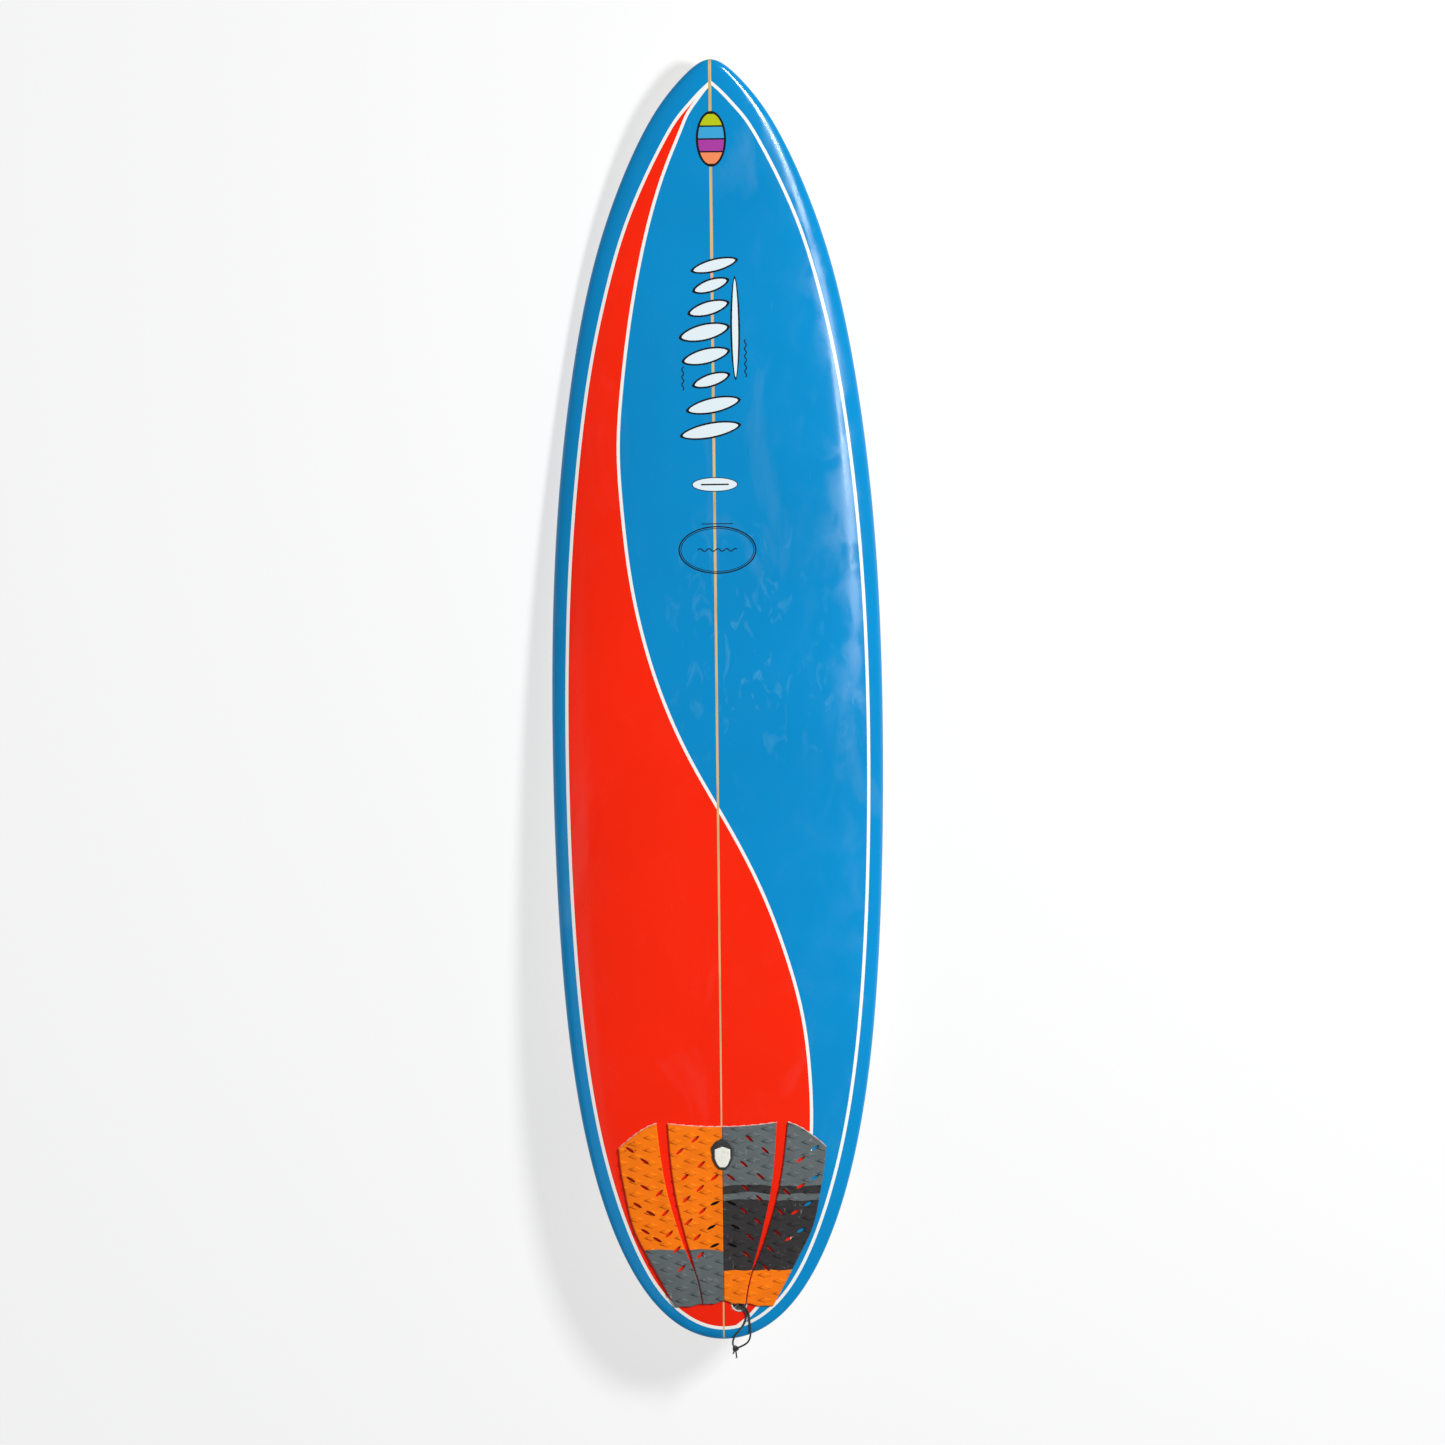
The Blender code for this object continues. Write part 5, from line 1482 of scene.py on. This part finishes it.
def build_adhesive(side_name, piece):
    """The glue film under one pad piece, which shows as a pale edge past the pad's front."""
    side = SIDES[side_name]
    shares = np.linspace(0.0, 1.0, 40)
    steps = np.linspace(0.0, 1.0, 90)[:, None]
    low = pad_bottom(piece, shares)[None, :] + 0.3 * MM
    ragged = 0.45 * MM * np.sin(shares * 37.0) + 0.35 * MM * np.sin(shares * 83.0)
    high = (pad_top(piece, shares) + 1.3 * MM + ragged)[None, :]
    y = low + (high - low) * steps
    inner, outer = pad_sides(piece, y)
    x = inner + (outer - inner) * shares[None, :]
    level = deck_height(x, y)
    upper = np.stack([side * x, y, level + PAD_LIFT + ADHESIVE], axis=-1)
    lower = np.stack([side * x, y, level + PAD_LIFT], axis=-1)
    name = f"pad_adhesive_{side_name}_{piece}"
    obj = shell(name + "_film", upper, lower, MATERIALS["adhesive"])
    cut_slits(obj, piece, side, -1.0, 0.0, MATERIALS["adhesive"], blind=False)
    attach(obj, "adhesive_film", name)


# ---- badge ------------------------------------------------------------------------------------
BADGE_Y = -0.722
BADGE_OUTLINE = ((0, 25.0), (10, 20.8), (18, 10.5), (16, -8.0), (11, -18.5), (5.5, -24.5))      # mm
FIELD_OUTLINE = ((0, 12.0), (12.5, 7.5), (12.5, -7.0), (8.5, -16.5), (4.5, -21.2))
BADGE_STEP = 0.5 * MM
BADGE_RINGS = (0.0, 0.3, 0.6, 0.85, 0.94, 0.98, 1.0)
BADGE_DOME = (1.5, 1.5, 1.5, 1.45, 1.35, 1.1, 0.7)       # mm over the pad at each ring


def badge_rim(outline, count=120):
    """Even places round a shield, its corners slightly rounded."""
    right = np.array(outline) * MM
    corners = np.concatenate([right, right[:0:-1] * (-1.0, 1.0), right[:1]])
    marks = travel(corners)
    where = np.linspace(0.0, marks[-1], count, endpoint=False)
    rim = np.stack([np.interp(where, marks, corners[:, k]) for k in range(2)], axis=-1)
    return (np.roll(rim, 1, axis=0) + rim + np.roll(rim, -1, axis=0)) / 3.0


def build_badge():
    rings = np.array(BADGE_RINGS)
    dome = np.array(BADGE_DOME) * MM
    top = PAD_LIFT + ADHESIVE + GAP + PAD_THICKNESS
    layers = (("pad_badge_base", BADGE_OUTLINE, "badge", ["pad_badge"]),
              ("pad_badge_field", FIELD_OUTLINE, "badge_white", []))
    for number, (name, outline, material, nodes) in enumerate(layers):
        grid = np.asarray((0.0, BADGE_Y)) + rings[:, None, None] * badge_rim(outline)[None, :, :]
        upper = on_deck(grid, 0.0)
        upper[..., 2] += (dome + number * BADGE_STEP)[:, None] + top
        piece = shell(name, upper, on_deck(grid, top - STAR_RELIEF), MATERIALS[material], wrap=True)
        attach(piece, "badge_rubber", *nodes)


# ---- carried-over CAD nodes -------------------------------------------------------------------
KEPT_NODES = {"leash_plug_pin": "steel", "stringer": "wood",
              "foam_blank_left": "foam", "foam_blank_right": "foam"}
EDGE_BEVEL = 0.25 * MM


def finish_cad_nodes():
    kept = dict(KEPT_NODES)
    for position in FINS:
        for end in ("front", "rear"):
            kept[f"fin_plug_{position}_{end}"] = "plug"
            kept[f"grub_screw_{position}_{end}"] = "steel"
    for name, material in kept.items():
        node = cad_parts[name]
        node.data.materials.clear()
        node.data.materials.append(MATERIALS[material])
        if name.startswith(("fin_plug", "grub_screw", "leash_plug_pin")):
            bevel = node.modifiers.new("edge", "BEVEL")
            bevel.width = EDGE_BEVEL
            bevel.segments = 2
            bevel.limit_method = "ANGLE"
            bevel.angle_limit = math.radians(50.0)


# ---- camera, light and floor ------------------------------------------------------------------
CAMERA_TARGET = (0.0078, -0.0363, 0.070)
CAMERA_UP = (0.01134, 0.99994, 0.0)
CAMERA_DISTANCE = 30.0
FIELD_WIDTH = 2.296
SENSOR_WIDTH_MM = 36.0
LIGHT_AIM = (0.0, 0.0, 0.1)
FLOOR_REACH = 14.0
FLOOR_LEVEL = -0.3 * MM


def add_camera():
    turn = REST.to_3x3()
    target = REST @ Vector(CAMERA_TARGET)
    back = turn @ Vector((0.0, 0.0, 1.0))
    up = turn @ Vector(CAMERA_UP)
    right = up.cross(back)
    camera = bpy.data.cameras.new("camera")
    camera.sensor_width = SENSOR_WIDTH_MM
    camera.lens = SENSOR_WIDTH_MM * CAMERA_DISTANCE / FIELD_WIDTH
    camera.clip_end = 100.0
    obj = bpy.data.objects.new("camera", camera)
    basis = Matrix((right, up, back)).transposed().to_4x4()
    obj.matrix_world = Matrix.Translation(target + back * CAMERA_DISTANCE) @ basis
    bpy.context.scene.collection.objects.link(obj)
    bpy.context.scene.camera = obj


def add_area(name, place, size, power):
    light = bpy.data.lights.new(name, "AREA")
    light.shape = "SQUARE"
    light.size = size
    light.energy = power
    obj = bpy.data.objects.new(name, light)
    obj.location = place
    obj.rotation_euler = (Vector(LIGHT_AIM) - Vector(place)).to_track_quat("-Z", "Y").to_euler()
    bpy.context.scene.collection.objects.link(obj)


def add_studio():
    world = bpy.data.worlds.new("studio")
    world.use_nodes = True
    background = world.node_tree.nodes["Background"]
    background.inputs["Color"].default_value = (0.97, 0.98, 1.0, 1.0)
    background.inputs["Strength"].default_value = 0.28
    bpy.context.scene.world = world
    add_area("key", (2.8, 1.4, 4.1), 0.9, 225.0)
    add_area("fill", (-3.0, -1.0, 3.4), 3.0, 14.0)
    bpy.context.scene.view_settings.view_transform = "Standard"


def add_floor():
    mesh = bpy.data.meshes.new("floor")
    signs = ((-1, -1), (1, -1), (1, 1), (-1, 1))
    corners = [(x * FLOOR_REACH, y * FLOOR_REACH, FLOOR_LEVEL) for x, y in signs]
    mesh.from_pydata(corners, [], [(0, 1, 2, 3)])
    floor = bpy.data.objects.new("floor", mesh)
    bpy.context.scene.collection.objects.link(floor)
    surface = Surface("floor", (0.36, 0.36, 0.36), 0.9, **{"Emission Strength": 0.62,
                                                          "Specular IOR Level": 0.0})
    surface.shader.inputs["Emission Color"].default_value = (1.0, 1.0, 1.0, 1.0)
    mesh.materials.append(surface.material)


add_camera()
build_leash()
build_skins()
build_paint()
nose_decal()
stripe_decal()
oval_decals()
for position_name, fin_facts in FINS.items():
    build_fin(position_name, fin_facts)
build_pads()
build_badge()
finish_cad_nodes()
add_studio()
add_floor()
